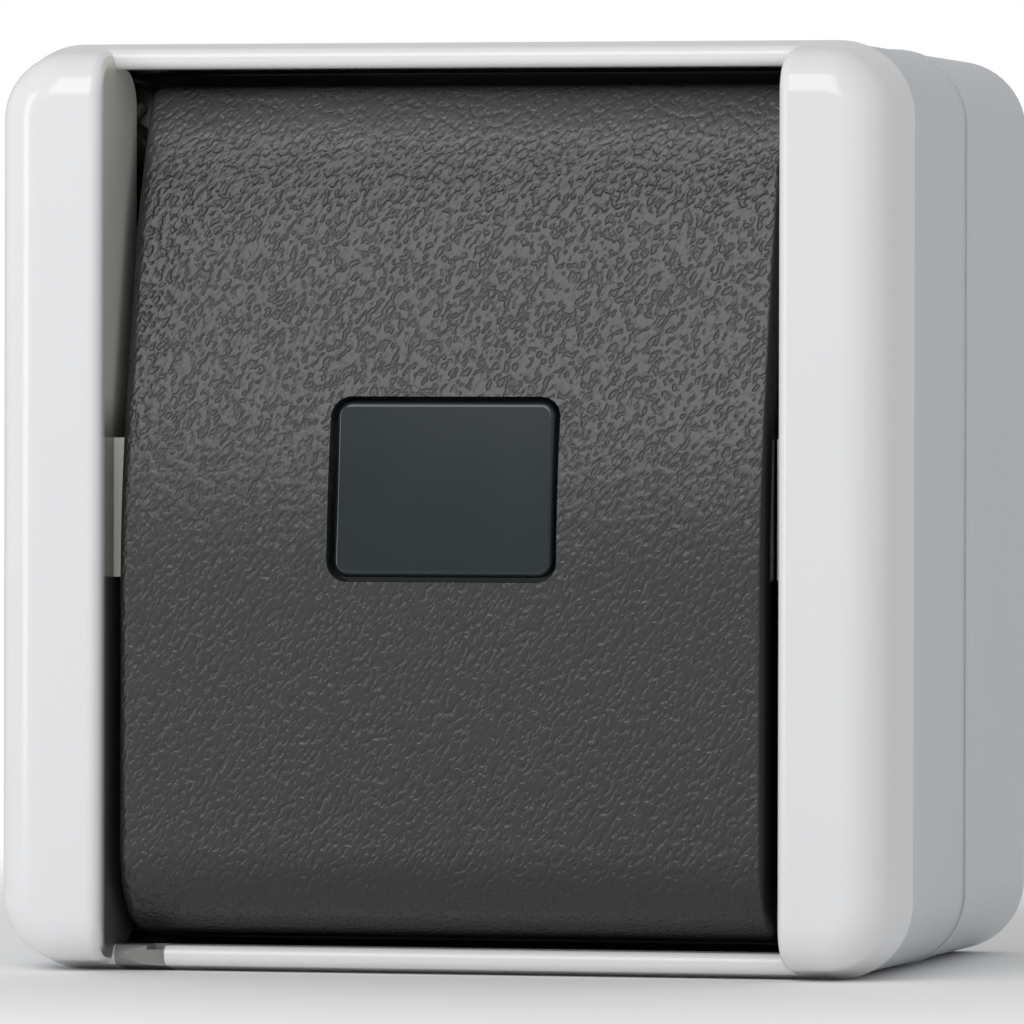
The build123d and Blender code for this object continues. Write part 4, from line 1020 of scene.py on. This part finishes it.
class PUSHBUTTON_OT_insert(bpy.types.Operator):
    """Finish the switch insert's moulded and metal pieces"""

    bl_idname = "pushbutton.insert"
    bl_label = "Insert"

    def execute(self, context):
        body = moulded_material("Insert Moulding", (0.72, 0.72, 0.68), 0.42, mottle=0.06, skin_depth=0.00001,
                                skin_size=1500.0, dust=0.1)
        dress(body, "insert_body", "insert_cover")
        pin = moulded_material("Pin Moulding", (0.66, 0.66, 0.63), 0.3, mottle=0.05)
        dress(pin, "push_pin", "contact_carrier")
        zinc = metal_material("Zinc Plate", (0.62, 0.62, 0.58), (0.45, 0.42, 0.30), 0.35, 0.28)
        dress(zinc, "support_plate", "insert_rivets", "terminal_clamp_left", "terminal_clamp_right",
              "housing_screws", "insert_screws", "terminal_screws", "earth_screw")
        brass = metal_material("Contact Brass", (0.72, 0.50, 0.20), (0.36, 0.22, 0.10), 0.45, 0.25)
        dress(brass, "contact_bridge", "fixed_contact_left", "fixed_contact_right", "earth_terminal")
        silver = metal_material("Contact Silver", (0.80, 0.79, 0.76), (0.45, 0.42, 0.38), 0.3, 0.18)
        dress(silver, "moving_contacts", "fixed_rivets")
        wire = metal_material("Spring Wire", (0.55, 0.55, 0.56), (0.30, 0.28, 0.26), 0.25, 0.22)
        dress(wire, "return_spring", "overtravel_spring")
        return {"FINISHED"}


class PUSHBUTTON_OT_stage(bpy.types.Operator):
    """Build the floor, the lights, the room and the camera"""

    bl_idname = "pushbutton.stage"
    bl_label = "Stage"

    def execute(self, context):
        scene = context.scene
        values = stage_settings()
        scene.view_settings.view_transform = "Standard"
        floor_mesh = bpy.data.meshes.new("studio_floor")
        corners = [(x * FLOOR_REACH, y * FLOOR_REACH, MODEL_BOX[0].z)
                   for x, y in ((-1, -1), (1, -1), (1, 1), (-1, 1))]
        floor_mesh.from_pydata(corners, [], [(0, 1, 2, 3)])
        floor = bpy.data.objects.new("studio_floor", floor_mesh)
        scene.collection.objects.link(floor)
        floor_mesh.materials.append(self.floor_material())
        self.room(scene, values.room_level)
        self.camera(scene, values)
        for name, azimuth, elevation, distance, size, setting in LIGHTS:
            self.area(scene, name, azimuth, elevation, distance, size, getattr(values, setting))
        return {"FINISHED"}

    def floor_material(self):
        """Pale floor that keeps the object's shadow and fades to plain white round it."""
        material, tree, shader = start_material("Studio Floor")
        shader.inputs["Base Color"].default_value = (0.93, 0.93, 0.93, 1.0)
        shader.inputs["Roughness"].default_value = 0.9
        shader.inputs["Specular IOR Level"].default_value = 0.1
        out = tree.nodes["Material Output"]
        place = add_node(tree, "ShaderNodeTexCoord", (-900, 300))
        away = add_node(tree, "ShaderNodeVectorMath", (-700, 300), operation="LENGTH")
        tree.links.new(place.outputs["Object"], away.inputs[0])
        fade = map_range(tree, away.outputs["Value"], 0.07, 0.2, 0.0, 1.0, (-500, 300), smooth=True)
        path = add_node(tree, "ShaderNodeLightPath", (-700, 600))
        seen = math_node(tree, "MULTIPLY", path.outputs["Is Camera Ray"], fade, (-300, 400))
        white = add_node(tree, "ShaderNodeEmission", (-300, 150), Strength=1.0)
        mix_shaders(tree, seen, shader.outputs[0], white.outputs[0], out.inputs["Surface"], (100, 200))
        return material

    def room(self, scene, level):
        """White room where the camera looks, and a soft grey level as light on the object."""
        world = bpy.data.worlds.new("Studio Room")
        scene.world = world
        world.use_nodes = True
        tree = world.node_tree
        tree.nodes.clear()
        path = add_node(tree, "ShaderNodeLightPath", (-600, 300))
        straight = math_node(tree, "MAXIMUM", path.outputs["Is Camera Ray"],
                             path.outputs["Is Transmission Ray"], (-300, 300))
        plain = (1.0, 1.0, 1.0, 1.0)
        white = add_node(tree, "ShaderNodeBackground", (-100, 100), Color=plain, Strength=1.0)
        grey = add_node(tree, "ShaderNodeBackground", (-100, -100), Color=plain, Strength=level)
        out = add_node(tree, "ShaderNodeOutputWorld", (350, 100))
        mix_shaders(tree, straight, grey.outputs[0], white.outputs[0], out.inputs["Surface"], (150, 100))

    def camera(self, scene, values):
        """Camera at the photograph's angle, distance and framing."""
        turn, tilt, roll = values.view_turn, values.view_tilt, values.view_roll
        sway = Matrix(((math.cos(turn), math.sin(turn), 0), (-math.sin(turn), math.cos(turn), 0), (0, 0, 1)))
        nod = Matrix(((1, 0, 0), (0, math.cos(tilt), math.sin(tilt)), (0, -math.sin(tilt), math.cos(tilt))))
        lean = Matrix(((math.cos(roll), 0, -math.sin(roll)), (0, 1, 0), (math.sin(roll), 0, math.cos(roll))))
        axes = lean @ nod @ sway
        data = bpy.data.cameras.new("photo_camera")
        data.sensor_width = 36.0
        data.lens = values.lens
        data.clip_start = 0.01
        data.clip_end = 10.0
        camera = bpy.data.objects.new("photo_camera", data)
        scene.collection.objects.link(camera)
        spot = -(axes.transposed() @ Vector(CAMERA_OFFSET))
        front = MODEL_BOX[0].y
        right, ahead, up = (Vector(row) for row in axes)
        place = Matrix((right, up, -ahead)).transposed().to_4x4()
        place.translation = Vector((spot.x, spot.y + front, spot.z))
        camera.matrix_world = place
        scene.camera = camera

    def area(self, scene, name, azimuth, elevation, distance, size, power):
        """An area light aimed at the object."""
        data = bpy.data.lights.new(name, "AREA")
        data.shape = "RECTANGLE"
        data.size, data.size_y = size
        data.energy = power
        light = bpy.data.objects.new(name, data)
        scene.collection.objects.link(light)
        turn, rise = math.radians(azimuth), math.radians(elevation)
        away = Vector((math.sin(turn) * math.cos(rise), -math.cos(turn) * math.cos(rise), math.sin(rise)))
        centre = (MODEL_BOX[0] + MODEL_BOX[1]) / 2
        light.location = centre + away * distance
        light.rotation_mode = "QUATERNION"
        light.rotation_quaternion = (-away).to_track_quat("-Z", "Y")


class PUSHBUTTON_PT_panel(bpy.types.Panel):
    """Settings and steps of the pushbutton dressing"""

    bl_idname = "PUSHBUTTON_PT_panel"
    bl_label = "Pushbutton"
    bl_space_type = "VIEW_3D"
    bl_region_type = "UI"
    bl_category = "Pushbutton"

    def draw(self, context):
        layout = self.layout
        for settings in (context.scene.pushbutton_finish, context.scene.pushbutton_stage):
            box = layout.box()
            for name in settings.__annotations__:
                box.prop(settings, name)
        for operator in STEPS:
            layout.operator(operator.bl_idname)


STEPS = (
    PUSHBUTTON_OT_front_frame,
    PUSHBUTTON_OT_housing,
    PUSHBUTTON_OT_button,
    PUSHBUTTON_OT_window,
    PUSHBUTTON_OT_seal,
    PUSHBUTTON_OT_insert,
    PUSHBUTTON_OT_screws,
    PUSHBUTTON_OT_springs,
    PUSHBUTTON_OT_stage,
)
SETTINGS = (FinishSettings, StageSettings)


def register():
    for cls in (*SETTINGS, *STEPS, PUSHBUTTON_PT_panel):
        bpy.utils.register_class(cls)
    bpy.types.Scene.pushbutton_finish = bpy.props.PointerProperty(type=FinishSettings)
    bpy.types.Scene.pushbutton_stage = bpy.props.PointerProperty(type=StageSettings)


def unregister():
    del bpy.types.Scene.pushbutton_stage
    del bpy.types.Scene.pushbutton_finish
    for cls in reversed((*SETTINGS, *STEPS, PUSHBUTTON_PT_panel)):
        bpy.utils.unregister_class(cls)


def main():
    register()
    for step in STEPS:
        group, name = step.bl_idname.split(".")
        getattr(getattr(bpy.ops, group), name)()


if __name__ == "__main__":
    main()
